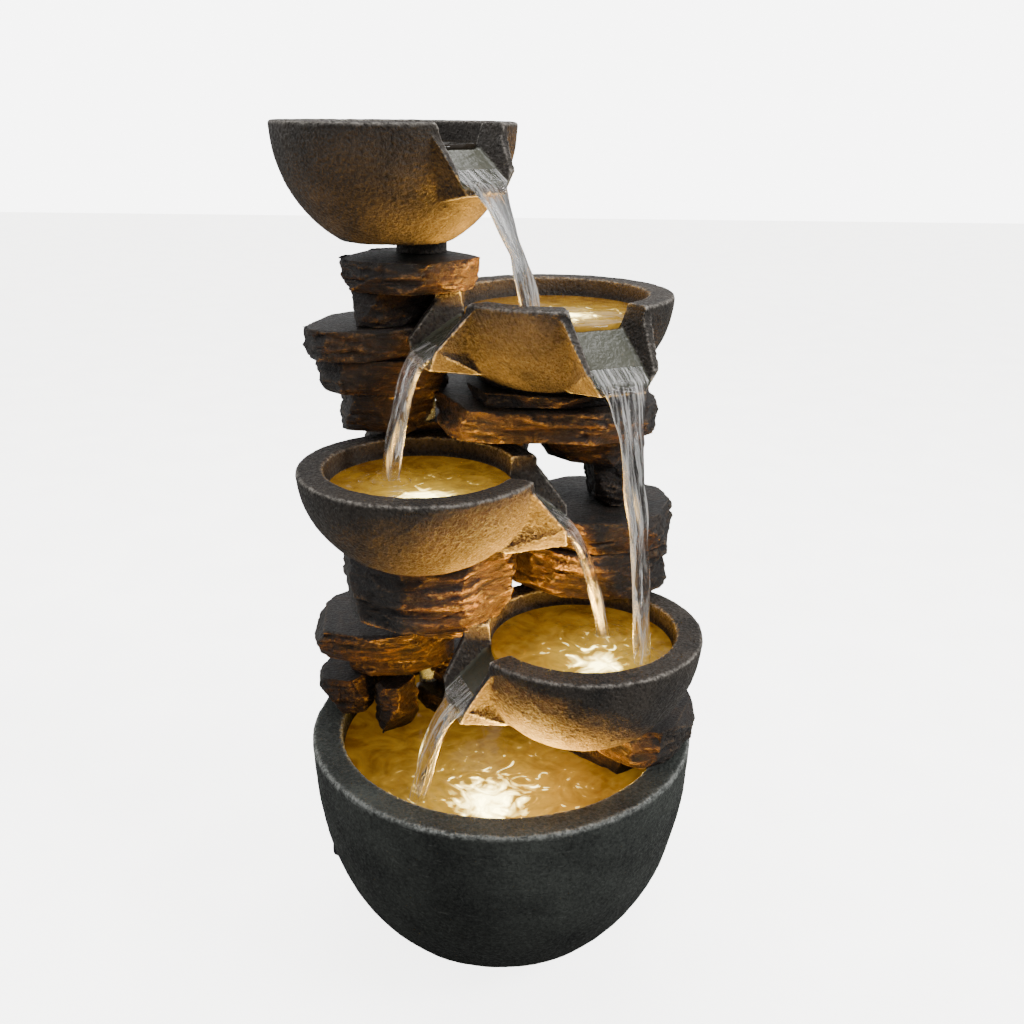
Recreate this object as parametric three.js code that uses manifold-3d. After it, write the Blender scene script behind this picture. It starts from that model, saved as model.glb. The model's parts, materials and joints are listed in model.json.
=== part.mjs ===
// Tabletop water fountain: four spouted bowls on a column of stacked slate rocks,
// standing in a large round basin that hides the pump.  Millimetres, +Z up,
// origin at the centre of the foot pad on the table, viewer on the -Y side.
import * as THREE from 'three';
import { mergeVertices } from 'three/addons/utils/BufferGeometryUtils.js';
import Module from 'manifold-3d';

const wasm = await Module();
wasm.setup();

// ---- driving dimensions -------------------------------------------------
const GAP = 0.3;                    // between pieces that touch
const CUT_GAP = 0.4;                // between a rock and the curved bowl it is cut for

const BASIN = { radius: 95, rimTop: 117.5, rimWidth: 15.5, floorTop: 20, bottom: 2 + GAP, segments: 40 };
const FOOT_PAD = { radius: 40, thickness: 2 };

const BOWL = {                      // the four cascade bowls share one plan; each has its own depth
  radius: 55, fullness: 58 / 51.5, innerRadius: 42.5, innerFullness: 44 / 34,
  floor: 17.5, bevel: 0.8, segments: 28,
};
const SPOUT = {                     // lengths from the bowl's centre and its rim plane
  entryHalfWidth: 12, lipHalfWidth: 12.5, lean: 0.35, cheek: 10.5, lipCheek: 5, taper: 0.7, mostTaper: 10,
  entryFloor: 11, cheekStart: 48, cheekEnd: 5, lipThickness: 5,
};
const BOWLS = [                     // top to bottom: rim centre and its spouts
  { name: 'bowl_top', centre: [-50, 29, 403.5], depth: 51.5, lit: false, spouts: [[-46, 60, 24]] },
  { name: 'bowl_upper', centre: [22.5, 22, 331], depth: 46, lit: true, spouts: [[-154, 66, 25], [-66, 67, 29]] },
  { name: 'bowl_middle', centre: [-37, -20, 260], depth: 43.5, lit: true, spouts: [[-3, 66, 28]] },
  { name: 'bowl_lower', centre: [37, -31, 186.5], depth: 50.5, lit: true, spouts: [[-160, 62, 29]] },
];                                  // spout: azimuth in degrees, reach, drop of its lip

const RISER = { x: -40, y: 44, outer: 5.5, inner: 4.2, bottom: 100, boreClearance: 0.6 };
const HOSE = { outer: 7.6, inner: 6.2, bottom: 56.3, top: 112 };
const NOZZLE = { flange: 8.4, flangeHeight: 2.4, stem: 3.9, bore: 2.8, height: 6, stemLength: 24 };
const COLLAR = { radius: 12, bottom: 345.3, height: 6.4 };

const PUMP = { x: -16, front: 8, depth: 28, width: 36, height: 30, bottom: 24, round: 4 };
const CHAMBER = { radius: 10.5, depth: 8, well: 6.6, wellDepth: 15 };
const SHAFT = { radius: 1, length: 24, sides: 24 };
const ROTOR = { magnet: 5.6, magnetLength: 13, hub: 3, vane: 9.2, vaneLength: 5, vaneCount: 4, bore: 1.08 };
const COVER = { thickness: 4, slots: 6, slotWidth: 1.8, post: 1.6 };
const DIAL = { radius: 7, thickness: 2.6, barHeight: 2, barWidth: 2.4, bore: 1.68 };
const CUP = { radius: 4.4, neck: 2.2, inset: 6 };

const LED = { radius: 9, height: 6, stem: 3.5, lens: 7.6, lensHeight: 2.6, stemLength: 16.5 };
const BASIN_LED = [-4, -22];
const GROMMET = { azimuth: 172, z: 34, from: 57, seat: 73.3, to: 90, neck: 7, head: 10, bore: 2.4 };
const LEAD = { radius: 2.1, sides: 8, steps: 14 };

// ---- materials ----------------------------------------------------------
const finish = (color, roughness, metalness = 0) =>
  new THREE.MeshStandardMaterial({ color, roughness, metalness });
const bowlResin = finish(0x59534c, 0.85);
const basinResin = finish(0x414345, 0.82);
const rockResin = finish(0x33291f, 0.72);
const rubber = finish(0x161616, 0.9);
const pumpPlastic = finish(0x202327, 0.5);
const clearPlastic = finish(0xf4e2b0, 0.15);
const hoseVinyl = finish(0xb9c4c4, 0.3);
const ceramic = finish(0xe8e6df, 0.3);
const ferrite = finish(0x3a3a3e, 0.6, 0.2);

// ---- solids -------------------------------------------------------------
function toSolid(geometry) {
  const bare = geometry.index ? geometry.toNonIndexed() : geometry.clone();
  bare.deleteAttribute('normal');
  bare.deleteAttribute('uv');
  const merged = mergeVertices(bare, 1e-4);
  const point = merged.attributes.position;
  const faces = [];
  for (let i = 0; i < merged.index.count; i += 3) {
    const [a, b, c] = [0, 1, 2].map((k) => merged.index.getX(i + k));
    if (a !== b && b !== c && a !== c) faces.push([a, b, c]);
  }
  const corner = (i) => new THREE.Vector3().fromBufferAttribute(point, i);
  const volume = faces.reduce((sum, [a, b, c]) => sum + corner(a).dot(corner(b).cross(corner(c))), 0);
  const triVerts = new Uint32Array(faces.flatMap(([a, b, c]) => (volume > 0 ? [a, b, c] : [a, c, b])));
  return new wasm.Manifold(new wasm.Mesh({ numProp: 3, vertProperties: point.array, triVerts }));
}

function toMesh(name, body, material) {
  const { vertProperties, triVerts } = body.getMesh();
  const geometry = new THREE.BufferGeometry();
  geometry.setAttribute('position', new THREE.BufferAttribute(vertProperties, 3));
  geometry.setIndex(new THREE.BufferAttribute(triVerts, 1));
  const shaded = geometry.toNonIndexed();
  shaded.computeVertexNormals();
  const mesh = new THREE.Mesh(shaded, material);
  mesh.name = name;
  return mesh;
}

/** A turned solid about +Z from [radius, height] points that start and end on the axis. */
function turned(points, segments = 32) {
  const profile = points.map(([r, z]) => new THREE.Vector2(r, z));
  return toSolid(new THREE.LatheGeometry(profile, segments).rotateX(Math.PI / 2));
}

/** A turned ring about +Z between two radii and two heights. */
function ring(inner, outer, low, high, segments = 32) {
  const section = [[inner, low], [outer, low], [outer, high], [inner, high], [inner, low]];
  return turned(section, segments);
}

const disc = (radius, low, high, segments = 32) =>
  turned([[0, low], [radius, low], [radius, high], [0, high]], segments);

const block = (width, depth, height) => toSolid(new THREE.BoxGeometry(width, depth, height));

const join = (bodies) => bodies.reduce((all, body) => all.add(body));

const alongY = (body) => body.rotate([-90, 0, 0]);

// ---- bowls --------------------------------------------------------------
const ellipse = (radius, fullDepth, depth) => radius * Math.sqrt(1 - (depth / fullDepth) ** 2);

/** Outer half of a cascade bowl's section, from its foot up to its rim. */
function bowlSide(fullDepth, grow, steps = 6) {
  const points = [[0, -fullDepth - grow]];
  for (let i = 0; i <= steps; i += 1) {
    const depth = fullDepth * (1 - i / steps) ** 1.3;
    const radius = ellipse(BOWL.radius, fullDepth * BOWL.fullness, depth);
    points.push([radius + grow, -depth - (i === 0 ? grow : 0)]);
  }
  return points;
}

const innerDepth = (bowl) => bowl.depth - BOWL.floor;

function bowlInside(fullDepth, steps = 5) {
  const points = [];
  for (let i = 0; i <= steps; i += 1) {
    const depth = fullDepth * (i / steps) ** 0.8;
    points.push([ellipse(BOWL.innerRadius, fullDepth * BOWL.innerFullness, depth), -depth]);
  }
  return [...points, [0, -fullDepth]];
}

/** A side outline of [out, height] points, widened evenly to each side and tapered outwards. */
function wedge(outline, halfWidthAt) {
  const shape = new THREE.Shape(outline.map(([u, z]) => new THREE.Vector2(u, z)));
  const geometry = new THREE.ExtrudeGeometry(shape, { depth: 2, bevelEnabled: false });
  const point = geometry.attributes.position;
  for (let i = 0; i < point.count; i += 1) {
    const side = point.getZ(i) - 1;
    point.setXYZ(i, point.getX(i), -side * halfWidthAt(point.getX(i), point.getY(i)), point.getY(i));
  }
  return toSolid(geometry);
}

function channelHalfWidth(reach) {
  const slope = (SPOUT.lipHalfWidth - SPOUT.entryHalfWidth) / (reach - BOWL.innerRadius);
  return (u) => SPOUT.entryHalfWidth + slope * (u - BOWL.innerRadius);
}

function spoutBlock([, reach, drop], grow) {
  const underside = -drop - SPOUT.lipThickness - grow;
  const outline = [
    [46, grow], [SPOUT.cheekStart + grow, grow], [reach + grow, SPOUT.cheekEnd - drop + grow],
    [reach + 0.5 + grow, underside], [40, underside - 4], [33, underside - 3], [41, -22],
  ];
  const channel = channelHalfWidth(reach);
  const fall = (SPOUT.cheekEnd - drop) / (reach - SPOUT.cheekStart);
  const cheekTop = (u) => Math.min(0, Math.max(SPOUT.cheekEnd - drop, (u - SPOUT.cheekStart) * fall));
  const along = (u) => Math.min(1, Math.max(0, (u - SPOUT.cheekStart) / (reach - SPOUT.cheekStart)));
  const cheek = (u) => SPOUT.cheek + (SPOUT.lipCheek - SPOUT.cheek) * along(u);
  const drawnIn = (u, z) => Math.min(SPOUT.mostTaper, Math.max(0, (cheekTop(u) - z) * SPOUT.taper));
  return wedge(outline, (u, z) => channel(u) + cheek(u) + grow - drawnIn(u, z));
}

/** The water's way out: a level start inside the rim, then a slope, between walls that lean outwards. */
function spoutChannel([, reach, drop]) {
  const fall = (drop - SPOUT.entryFloor) / (reach - 43);
  const past = reach + 3;
  const floor = (u) => -SPOUT.entryFloor - fall * Math.max(0, u - 43);
  const halfWidth = (u, z) => channelHalfWidth(reach)(u) + SPOUT.lean * (z - floor(u));
  const start = wedge([[28, 3], [28, floor(28)], [43.01, floor(43)], [43.01, 3]], halfWidth);
  return start.add(wedge([[43, 3], [43, floor(43)], [past, floor(past)], [past, 3]], halfWidth));
}

const aimed = (body, spout) => body.rotate([0, 0, spout[0]]);

function makeBowl({ depth, spouts, lit }) {
  const rimEdge = [[BOWL.radius, -BOWL.bevel], [BOWL.radius - BOWL.bevel, 0], [BOWL.innerRadius + BOWL.bevel, 0]];
  const inside = depth - BOWL.floor;
  const section = [...bowlSide(depth, 0).slice(0, -1), ...rimEdge, ...bowlInside(inside).slice(1)];
  let body = turned(section, BOWL.segments);
  body = join([body, ...spouts.map((spout) => aimed(spoutBlock(spout, 0), spout))]);
  for (const spout of spouts) body = body.subtract(aimed(spoutChannel(spout), spout));
  if (lit) body = body.subtract(disc(LED.stem + GAP, -depth - 5, -inside + 5, 20));
  return body;
}

/** The space that a bowl and its spouts fill, a little enlarged, up to its rim plane. */
function bowlEnvelope({ centre, depth, spouts }) {
  const shell = turned([...bowlSide(depth, CUT_GAP), [0, CUT_GAP]], BOWL.segments);
  return join([shell, ...spouts.map((spout) => aimed(spoutBlock(spout, CUT_GAP), spout))]).translate(centre);
}

const outletY = PUMP.front + CHAMBER.depth - 1;
const envelopes = BOWLS.map(bowlEnvelope);
const hoseBore = tubeAlong(hosePath(), HOSE.outer + 0.8, 0, 10, 14);
const riserBore = disc(RISER.outer + RISER.boreClearance, 90, 420, 16).translate([RISER.x, RISER.y, 0]);

function makeBowls() {
  return BOWLS.map((bowl) => {
    let body = makeBowl(bowl).translate(bowl.centre);
    if (!bowl.lit) body = body.subtract(riserBore);
    return toMesh(bowl.name, body, bowlResin);
  });
}

// ---- basin --------------------------------------------------------------
const basinOutside = () => [[44, BASIN.bottom], [52, 7], [64, 17], [75, 31], [84, 48], [90, 68], [94, 92],
  [BASIN.radius, BASIN.rimTop - 1.2], [BASIN.radius - 1.2, BASIN.rimTop]];

function basinInside(shrink = 0) {
  const rim = BASIN.radius - BASIN.rimWidth;
  return [[rim, BASIN.rimTop], [78.6, 98], [75.5, 72], [69, 48], [59, 30], [46, BASIN.floorTop]]
    .map(([r, z]) => [r - shrink, z + (z === BASIN.floorTop ? shrink : 0)]);
}

const basinInterior = turned([[0, BASIN.rimTop + 60], ...basinInside(CUT_GAP).map(([r, z], i) =>
  [r, i === 0 ? BASIN.rimTop + 60 : z]), [0, BASIN.floorTop + CUT_GAP]], BASIN.segments);

/** Turns a body built along +X out to the cord outlet's direction and height. */
const atOutlet = (body) => body.rotate([0, 90, 0]).rotate([0, 0, GROMMET.azimuth]).translate([0, 0, GROMMET.z]);

function makeBasin() {
  const section = [[0, BASIN.bottom], ...basinOutside(), ...basinInside(), [0, BASIN.floorTop]];
  const neckHole = atOutlet(disc(GROMMET.neck + GAP, 40, 110, 24));
  const headHole = atOutlet(disc(GROMMET.head + GAP, GROMMET.seat - GAP, 110, 24));
  const ledHole = disc(LED.stem + GAP, 8, 40, 20).translate([...BASIN_LED, 0]);
  return turned(section, BASIN.segments).subtract(neckHole).subtract(headHole).subtract(ledHole);
}

function makeGrommet() {
  const { from, seat, to, neck, head, bore } = GROMMET;
  const section = [[bore, from], [neck, from], [neck, seat], [head, seat], [head, to - 6], [head - 2, to],
    [bore, to], [bore, from]];
  return atOutlet(turned(section, 24));
}

// ---- rocks --------------------------------------------------------------
// Each rock: name, plan outline around its middle, bottom, top, number of split courses.
const ROCKS = [
  ['rock_cap', [[-84, 22], [-76, 4], [-60, -2], [-34, -3], [-16, 4], [-7, 22], [-10, 44], [-26, 60], [-54, 62],
    [-76, 48]], 331, 345, 2],
  ['rock_cap_neck', [[-76, 24], [-70, 8], [-52, 3], [-38, 8], [-30, 26], [-28, 48], [-40, 59], [-62, 56],
    [-74, 42]], 315, 330.7, 2],
  ['rock_ledge_upper', [[-101, 26], [-94, 6], [-78, 0], [-56, 3], [-36, 6], [-26, 24], [-24, 50], [-40, 64],
    [-70, 62], [-94, 46]], 300, 314.7, 2],
  ['rock_ledge_lower', [[-91, 24], [-82, 5], [-60, 2], [-34, 4], [-24, 22], [-22, 50], [-42, 60], [-72, 58],
    [-88, 42]], 284, 299.7, 3],
  ['rock_shelf_left', [[-84, 22], [-78, 8], [-58, 3], [-38, 5], [-33, 20], [-33, 62], [-56, 64], [-78, 50]],
    264, 283.7, 3],
  ['rock_shelf_right', [[-32, 8], [-28, -12], [-8, -19], [22, -17], [48, -20], [68, -8], [74, 14], [70, 42],
    [48, 60], [10, 70], [-46, 72], [-44, 67], [-32, 65]], 268.3, 283.7, 2],
  ['rock_shelf_top', [[-20, 12], [-14, -14], [22, -16], [47, -18], [66, -6], [71, 14], [67, 40], [46, 57],
    [10, 66], [-28, 66], [-25, 58], [-20, 51]], 284, 290, 1],
  ['rock_lintel', [[16, 14], [34, 4], [58, 2], [71, 16], [70, 44], [46, 58], [18, 54]], 250.5, 268, 2],
  ['rock_pillar', [[36, 16], [46, 6], [64, 6], [74, 20], [70, 42], [50, 50], [37, 42]], 230, 250.2, 3],
  ['rock_column', [[-74, 46], [-64, 36], [-30, 36], [4, 36], [13, 27], [14, 48], [4, 66], [-30, 72], [-64, 66]],
    221.3, 263.7, 4],
  ['rock_slab_upper', [[9, 10], [14, -6], [34, -12], [62, -13], [80, -2], [86, 18], [80, 44], [52, 62],
    [18, 58], [17, 28]], 213, 229.7, 2],
  ['rock_slab_lower', [[6.5, 14], [16, -4], [40, -10], [66, -8], [79, 8], [76, 40], [50, 60], [14, 64], [-10, 65],
    [-8, 57], [6.5, 48]], 188, 212.7, 3],
  ['rock_block', [[-75, -2], [-66, -26], [-44, -38], [-14, -37], [3, -24], [5, 8], [4, 46], [-18, 58],
    [-56, 56], [-72, 30]], 183, 221, 3],
  ['rock_block_neck', [[-62, 14], [-54, -8], [-30, -14], [-4, -10], [2, 20], [-2, 54], [-34, 60], [-58, 46]],
    168.3, 182.7, 1],
  ['rock_left_slab', [[-98, 18], [-92, -2], [-72, -10], [-46, -8], [-30, -2], [-22, 24], [-24, 54], [-44, 66],
    [-74, 62], [-94, 44]], 150, 168, 3],
  ['rock_left_neck', [[-88, 20], [-82, 4], [-58, 1], [-34, 4], [-22, 24], [-24, 54], [-50, 62], [-80, 48]],
    138, 149.7, 1],
  ['rock_back_pier', [[8, 38], [22, 28], [56, 26], [76, 32], [78, 50], [56, 66], [18, 66], [7, 56]],
    138, 187.7, 4],
  ['rock_rim_left', [[-96, 14], [-93, -6], [-80, -8], [-68, -2], [-66, 26], [-56, 44], [-52, 70], [-70, 62],
    [-88, 40]], 117.8, 137.7, 2],
  ['rock_rim_step', [[-65, 6], [-62, -6], [-50, -7], [-44, 4], [-44, 26], [-54, 36], [-63, 24]], 100, 135, 3],
  ['rock_rim_back', [[-50, 62], [-48, 40], [-36, 30], [-14, 30], [-5, 44], [-5, 78], [-20, 88], [-44, 82]],
    117.8, 137.7, 2],
  ['rock_rim_right', [[-3, 22], [8, 4], [24, -12], [46, -28], [58, -46], [76, -48], [91, -32], [96, -10],
    [92, 22], [74, 54], [40, 76], [-2, 72]], 117.8, 137.7, 2],
  ['rock_basin_back', [[-46, 30], [-36, 20], [-16, 16], [-3, 26], [-3, 56], [-20, 68], [-44, 60]],
    84, 117.5, 3],
  ['rock_basin', [[-1, 24], [8, 6], [26, -10], [48, -26], [60, -38], [68, -30], [74, 0], [62, 36], [36, 58],
    [2, 60]], 58, 117.5, 4],
];
const COURSE_INSET = [2.6, 0.4, 1.6, 0, 2.2];   // how far each split course stands back, in turn

/** A stack of split courses: rings of the outline drawn in by different amounts. */
function courses(outline, bottom, top, count, seed) {
  const centre = outline.reduce(([x, y], [a, b]) => [x + a / outline.length, y + b / outline.length], [0, 0]);
  const reach = outline.reduce((sum, [a, b]) => sum + Math.hypot(a - centre[0], b - centre[1]), 0)
    / outline.length;
  const rings = [[bottom, 4]];
  const course = (top - bottom) / count;
  for (let k = 0; k < count; k += 1) {
    const inset = COURSE_INSET[(k + seed) % COURSE_INSET.length];
    rings.push([bottom + course * (k + 0.22), inset]);
    rings.push([bottom + course * (k + 0.8), inset + 0.3]);
  }
  rings.push([top, 2.4]);
  const last = rings.length - 1;
  return rings.flatMap(([z, inset], level) => outline.map(([x, y], i) => {
    const rough = level === 0 || level === last ? 0 : Math.sin(i * 2.3 + level * 1.7 + seed);
    const scale = 1 - (inset + Math.max(0, rough)) / reach;
    return [centre[0] + (x - centre[0]) * scale, centre[1] + (y - centre[1]) * scale, z + rough * 0.7];
  }));
}

function loft(points, sides) {
  const rings = points.length / sides;
  const index = [];
  for (let k = 0; k < rings - 1; k += 1) {
    for (let i = 0; i < sides; i += 1) {
      const [a, b] = [k * sides + i, k * sides + ((i + 1) % sides)];
      index.push(a, b, b + sides, a, b + sides, a + sides);
    }
  }
  for (const first of [0, points.length - sides]) {
    const flat = points.slice(first, first + sides).map(([x, y]) => new THREE.Vector2(x, y));
    const caps = THREE.ShapeUtils.triangulateShape(flat, []);
    for (const [a, b, c] of caps) {
      const facesUp = THREE.ShapeUtils.area([flat[a], flat[b], flat[c]]) > 0;
      index.push(...(facesUp === first > 0 ? [a, b, c] : [a, c, b]).map((i) => i + first));
    }
  }
  const geometry = new THREE.BufferGeometry();
  geometry.setAttribute('position', new THREE.Float32BufferAttribute(points.flat(), 3));
  geometry.setIndex(index);
  return geometry;
}

const touches = (a, b) => [0, 1, 2].every((k) => a.min[k] < b.max[k] && b.min[k] < a.max[k]);

function makeRocks() {
  return ROCKS.map(([name, outline, bottom, top, count], seed) => {
    let body = toSolid(loft(courses(outline, bottom, top, count, seed), outline.length));
    const box = body.boundingBox();
    for (const envelope of envelopes) {
      if (touches(box, envelope.boundingBox())) body = body.subtract(envelope);
    }
    if (touches(box, riserBore.boundingBox())) body = body.subtract(riserBore);
    if (bottom < BASIN.rimTop) body = body.intersect(basinInterior).subtract(hoseBore);
    const largest = body.decompose().reduce((a, b) => (a.volume() > b.volume() ? a : b));
    return toMesh(name, largest, rockResin);
  });
}

// ---- water path ---------------------------------------------------------
function makeRiser() {
  const top = BOWLS[0].centre[2] - innerDepth(BOWLS[0]);
  return ring(RISER.inner, RISER.outer, RISER.bottom, top, 20).translate([RISER.x, RISER.y, 0]);
}

/** A tube of the given section along smooth points, cut square at both ends. */
function tubeAlong(points, outer, inner, sides, steps) {
  const circle = (radius) => Array.from({ length: sides }, (_, i) => {
    const turn = (i / sides) * 2 * Math.PI;
    return new THREE.Vector2(radius * Math.cos(turn), radius * Math.sin(turn));
  });
  const shape = new THREE.Shape(circle(outer));
  if (inner > 0) shape.holes.push(new THREE.Path(circle(inner)));
  const extrudePath = new THREE.CatmullRomCurve3(points.map((p) => new THREE.Vector3(...p)));
  return toSolid(new THREE.ExtrudeGeometry(shape, { extrudePath, steps, bevelEnabled: false }));
}

function hosePath() {
  const [x, y] = [PUMP.x, outletY];
  const points = [[x, y, HOSE.bottom], [x, y, HOSE.bottom + 4], [x, y, HOSE.bottom + 10],
    [x - 3, y + 6, HOSE.bottom + 22], [RISER.x + 3, RISER.y - 6, HOSE.top - 24],
    [RISER.x, RISER.y, HOSE.top - 12], [RISER.x, RISER.y, HOSE.top - 6], [RISER.x, RISER.y, HOSE.top]];
  return points;
}

const makeHose = () => tubeAlong(hosePath(), HOSE.outer, HOSE.inner, 10, 14);

function makeNozzle() {
  const floor = BOWLS[0].centre[2] - innerDepth(BOWLS[0]) + GAP;
  const section = [[NOZZLE.bore, floor - NOZZLE.stemLength], [NOZZLE.stem, floor - NOZZLE.stemLength],
    [NOZZLE.stem, floor], [NOZZLE.flange, floor], [NOZZLE.flange, floor + NOZZLE.flangeHeight - 0.8],
    [NOZZLE.flange - 1.2, floor + NOZZLE.flangeHeight], [NOZZLE.stem + 0.8, floor + NOZZLE.flangeHeight],
    [NOZZLE.stem, floor + NOZZLE.height], [NOZZLE.bore, floor + NOZZLE.height],
    [NOZZLE.bore, floor - NOZZLE.stemLength]];
  return turned(section, 16).translate([RISER.x, RISER.y, 0]);
}

const makeCollar = () =>
  ring(RISER.outer + RISER.boreClearance, COLLAR.radius, COLLAR.bottom, COLLAR.bottom + COLLAR.height, 28)
    .translate([RISER.x, RISER.y, 0]);

// ---- pump ---------------------------------------------------------------
const pumpAxisZ = PUMP.bottom + PUMP.height / 2;
const onPumpAxis = (body, y) => alongY(body).translate([PUMP.x, y, pumpAxisZ]);

/** A rounded plate standing upright: width along X, height along Z, thickness along +Y. */
function uprightPlate(width, height, thickness, round) {
  const [w, h] = [width / 2, height / 2];
  const shape = new THREE.Shape().moveTo(-w + round, -h).lineTo(w - round, -h);
  shape.absarc(w - round, -h + round, round, -Math.PI / 2, 0).lineTo(w, h - round);
  shape.absarc(w - round, h - round, round, 0, Math.PI / 2).lineTo(-w + round, h);
  shape.absarc(-w + round, h - round, round, Math.PI / 2, Math.PI).lineTo(-w, -h + round);
  shape.absarc(-w + round, -h + round, round, Math.PI, Math.PI * 1.5);
  const geometry = new THREE.ExtrudeGeometry(shape, { depth: thickness, bevelEnabled: false, curveSegments: 4 });
  return toSolid(geometry.rotateX(Math.PI / 2)).translate([PUMP.x, thickness, pumpAxisZ]);
}

function makePumpHousing() {
  const shell = uprightPlate(PUMP.width, PUMP.height, PUMP.depth, PUMP.round).translate([0, PUMP.front, 0]);
  const top = PUMP.bottom + PUMP.height;
  const stub = disc(RISER.outer, top - 1, HOSE.bottom + 8, 20).translate([PUMP.x, outletY, 0]);
  const outlet = disc(2.8, pumpAxisZ, 90, 16).translate([PUMP.x, outletY, 0]);
  const chamber = onPumpAxis(disc(CHAMBER.radius, -5, CHAMBER.depth, 28), PUMP.front);
  const well = onPumpAxis(disc(CHAMBER.well, 0, CHAMBER.depth + CHAMBER.wellDepth, 24), PUMP.front);
  const shaftHole = onPumpAxis(disc(SHAFT.radius + 0.1, 0, CHAMBER.depth + CHAMBER.wellDepth + 2.4, 24), PUMP.front);
  return shell.add(stub).subtract(outlet).subtract(chamber).subtract(well).subtract(shaftHole);
}

function makeImpeller() {
  const { magnet, magnetLength, hub, vane, vaneLength, vaneCount, bore } = ROTOR;
  const core = disc(hub, 0, vaneLength, 24).add(disc(magnet, vaneLength, vaneLength + magnetLength, 24));
  const blades = Array.from({ length: vaneCount }, (_, i) =>
    block(vane, 1.4, vaneLength).translate([vane / 2, 0, vaneLength / 2]).rotate([0, 0, (i * 360) / vaneCount]));
  const turnedBore = disc(bore, -1, vaneLength + magnetLength + 1, SHAFT.sides);
  return onPumpAxis(join([core, ...blades]).subtract(turnedBore), PUMP.front + 1.8);
}

const makeShaft = () => onPumpAxis(disc(SHAFT.radius, 0, SHAFT.length, SHAFT.sides), PUMP.front + 1);

function makeCover() {
  const back = PUMP.front - GAP;
  const pitch = (PUMP.width - 8) / (COVER.slots - 1);
  let plate = uprightPlate(PUMP.width, PUMP.height, COVER.thickness, PUMP.round)
    .translate([0, back - COVER.thickness, 0]);
  for (let i = 0; i < COVER.slots; i += 1) {
    const x = PUMP.x - (PUMP.width - 8) / 2 + i * pitch;
    for (const z of [-10.6, 10.6]) {
      plate = plate.subtract(block(COVER.slotWidth, 30, 5.4).translate([x, back, pumpAxisZ + z]));
    }
  }
  const intake = onPumpAxis(disc(2.4, -10, 10, 16), back).translate([0, 0, -4.6]);
  const post = onPumpAxis(disc(COVER.post, -COVER.thickness - DIAL.thickness - GAP, -COVER.thickness + 1, 20), back);
  return plate.subtract(intake).add(post);
}

function makeDial() {
  const back = PUMP.front - GAP - COVER.thickness - GAP;
  const plate = disc(DIAL.radius, -DIAL.thickness, 0, 28);
  const bar = block(DIAL.radius * 1.7, DIAL.barWidth, DIAL.barHeight + 0.5)
    .translate([0, 0, -DIAL.thickness - DIAL.barHeight / 2 + 0.2]);
  const port = disc(2.4, -5, 5, 16).translate([0, 4.6, 0]);
  const shaped = plate.add(bar).subtract(disc(DIAL.bore, -10, 5, 20)).subtract(port);
  return onPumpAxis(shaped, back);
}

function makeSuctionCups() {
  const meshes = [];
  const low = BASIN.floorTop + GAP;
  const high = PUMP.bottom - GAP;
  const section = [[0, low + 0.8], [CUP.radius - 1, low], [CUP.radius, low], [CUP.neck, high - 1], [CUP.neck, high],
    [0, high]];
  for (const x of [-1, 1]) {
    for (const y of [0, 1]) {
      const place = [PUMP.x + x * (PUMP.width / 2 - CUP.inset), PUMP.front + CUP.inset + y * (PUMP.depth - 2 * CUP.inset), 0];
      const side = `${x < 0 ? 'left' : 'right'}_${y ? 'back' : 'front'}`;
      meshes.push(toMesh(`pump_suction_cup_${side}`, turned(section, 20).translate(place), rubber));
    }
  }
  return meshes;
}

function makeLead() {
  const turn = THREE.MathUtils.degToRad(GROMMET.azimuth);
  const out = (r) => [r * Math.cos(turn), r * Math.sin(turn), GROMMET.z];
  const side = PUMP.x - PUMP.width / 2 - GAP;
  const points = [[side, 26, GROMMET.z], [side - 5, 26, GROMMET.z], [side - 10, 22, GROMMET.z - 1],
    [side - 12, 14, GROMMET.z - 1], out(52), out(GROMMET.from - GAP)];
  return tubeAlong(points, LEAD.radius, 0, LEAD.sides, LEAD.steps);
}

// ---- lights -------------------------------------------------------------
function makeLight(name, [x, y, floor], stemLength) {
  const low = floor + GAP;
  const housing = turned([[0, low - stemLength], [LED.stem, low - stemLength], [LED.stem, low], [LED.radius, low],
    [LED.radius, low + LED.height - 1], [LED.radius - 1, low + LED.height], [0, low + LED.height]], 20);
  const top = low + LED.height + GAP;
  const lens = turned([[0, top], [LED.lens, top], [LED.lens, top + 0.8], [LED.lens * 0.7, top + LED.lensHeight * 0.8],
    [0, top + LED.lensHeight]], 20);
  return [toMesh(`${name}_housing`, housing.translate([x, y, 0]), pumpPlastic),
    toMesh(`${name}_lens`, lens.translate([x, y, 0]), clearPlastic)];
}

function makeLights() {
  const inBowls = BOWLS.filter((bowl) => bowl.lit).flatMap(({ name, centre: [x, y, z], depth }) =>
    makeLight(name.replace('bowl', 'light'), [x, y, z - depth + BOWL.floor], LED.stemLength));
  return [...inBowls, ...makeLight('light_basin', [...BASIN_LED, BASIN.floorTop], 10)];
}

// ---- assembly -----------------------------------------------------------
const group = new THREE.Group();
group.add(
  toMesh('foot_pad', disc(FOOT_PAD.radius, 0, FOOT_PAD.thickness, 40), rubber),
  toMesh('basin', makeBasin(), basinResin),
  toMesh('cord_grommet', makeGrommet(), rubber),
  ...makeBowls(),
  ...makeRocks(),
  toMesh('riser_tube', makeRiser(), hoseVinyl),
  toMesh('pump_hose', makeHose(), hoseVinyl),
  toMesh('top_nozzle', makeNozzle(), pumpPlastic),
  toMesh('riser_collar', makeCollar(), bowlResin),
  toMesh('pump_housing', makePumpHousing(), pumpPlastic),
  toMesh('pump_impeller', makeImpeller(), ferrite),
  toMesh('pump_shaft', makeShaft(), ceramic),
  toMesh('pump_cover', makeCover(), pumpPlastic),
  toMesh('pump_flow_dial', makeDial(), clearPlastic),
  toMesh('pump_lead', makeLead(), rubber),
  ...makeSuctionCups(),
  ...makeLights(),
);

export default group;
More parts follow.
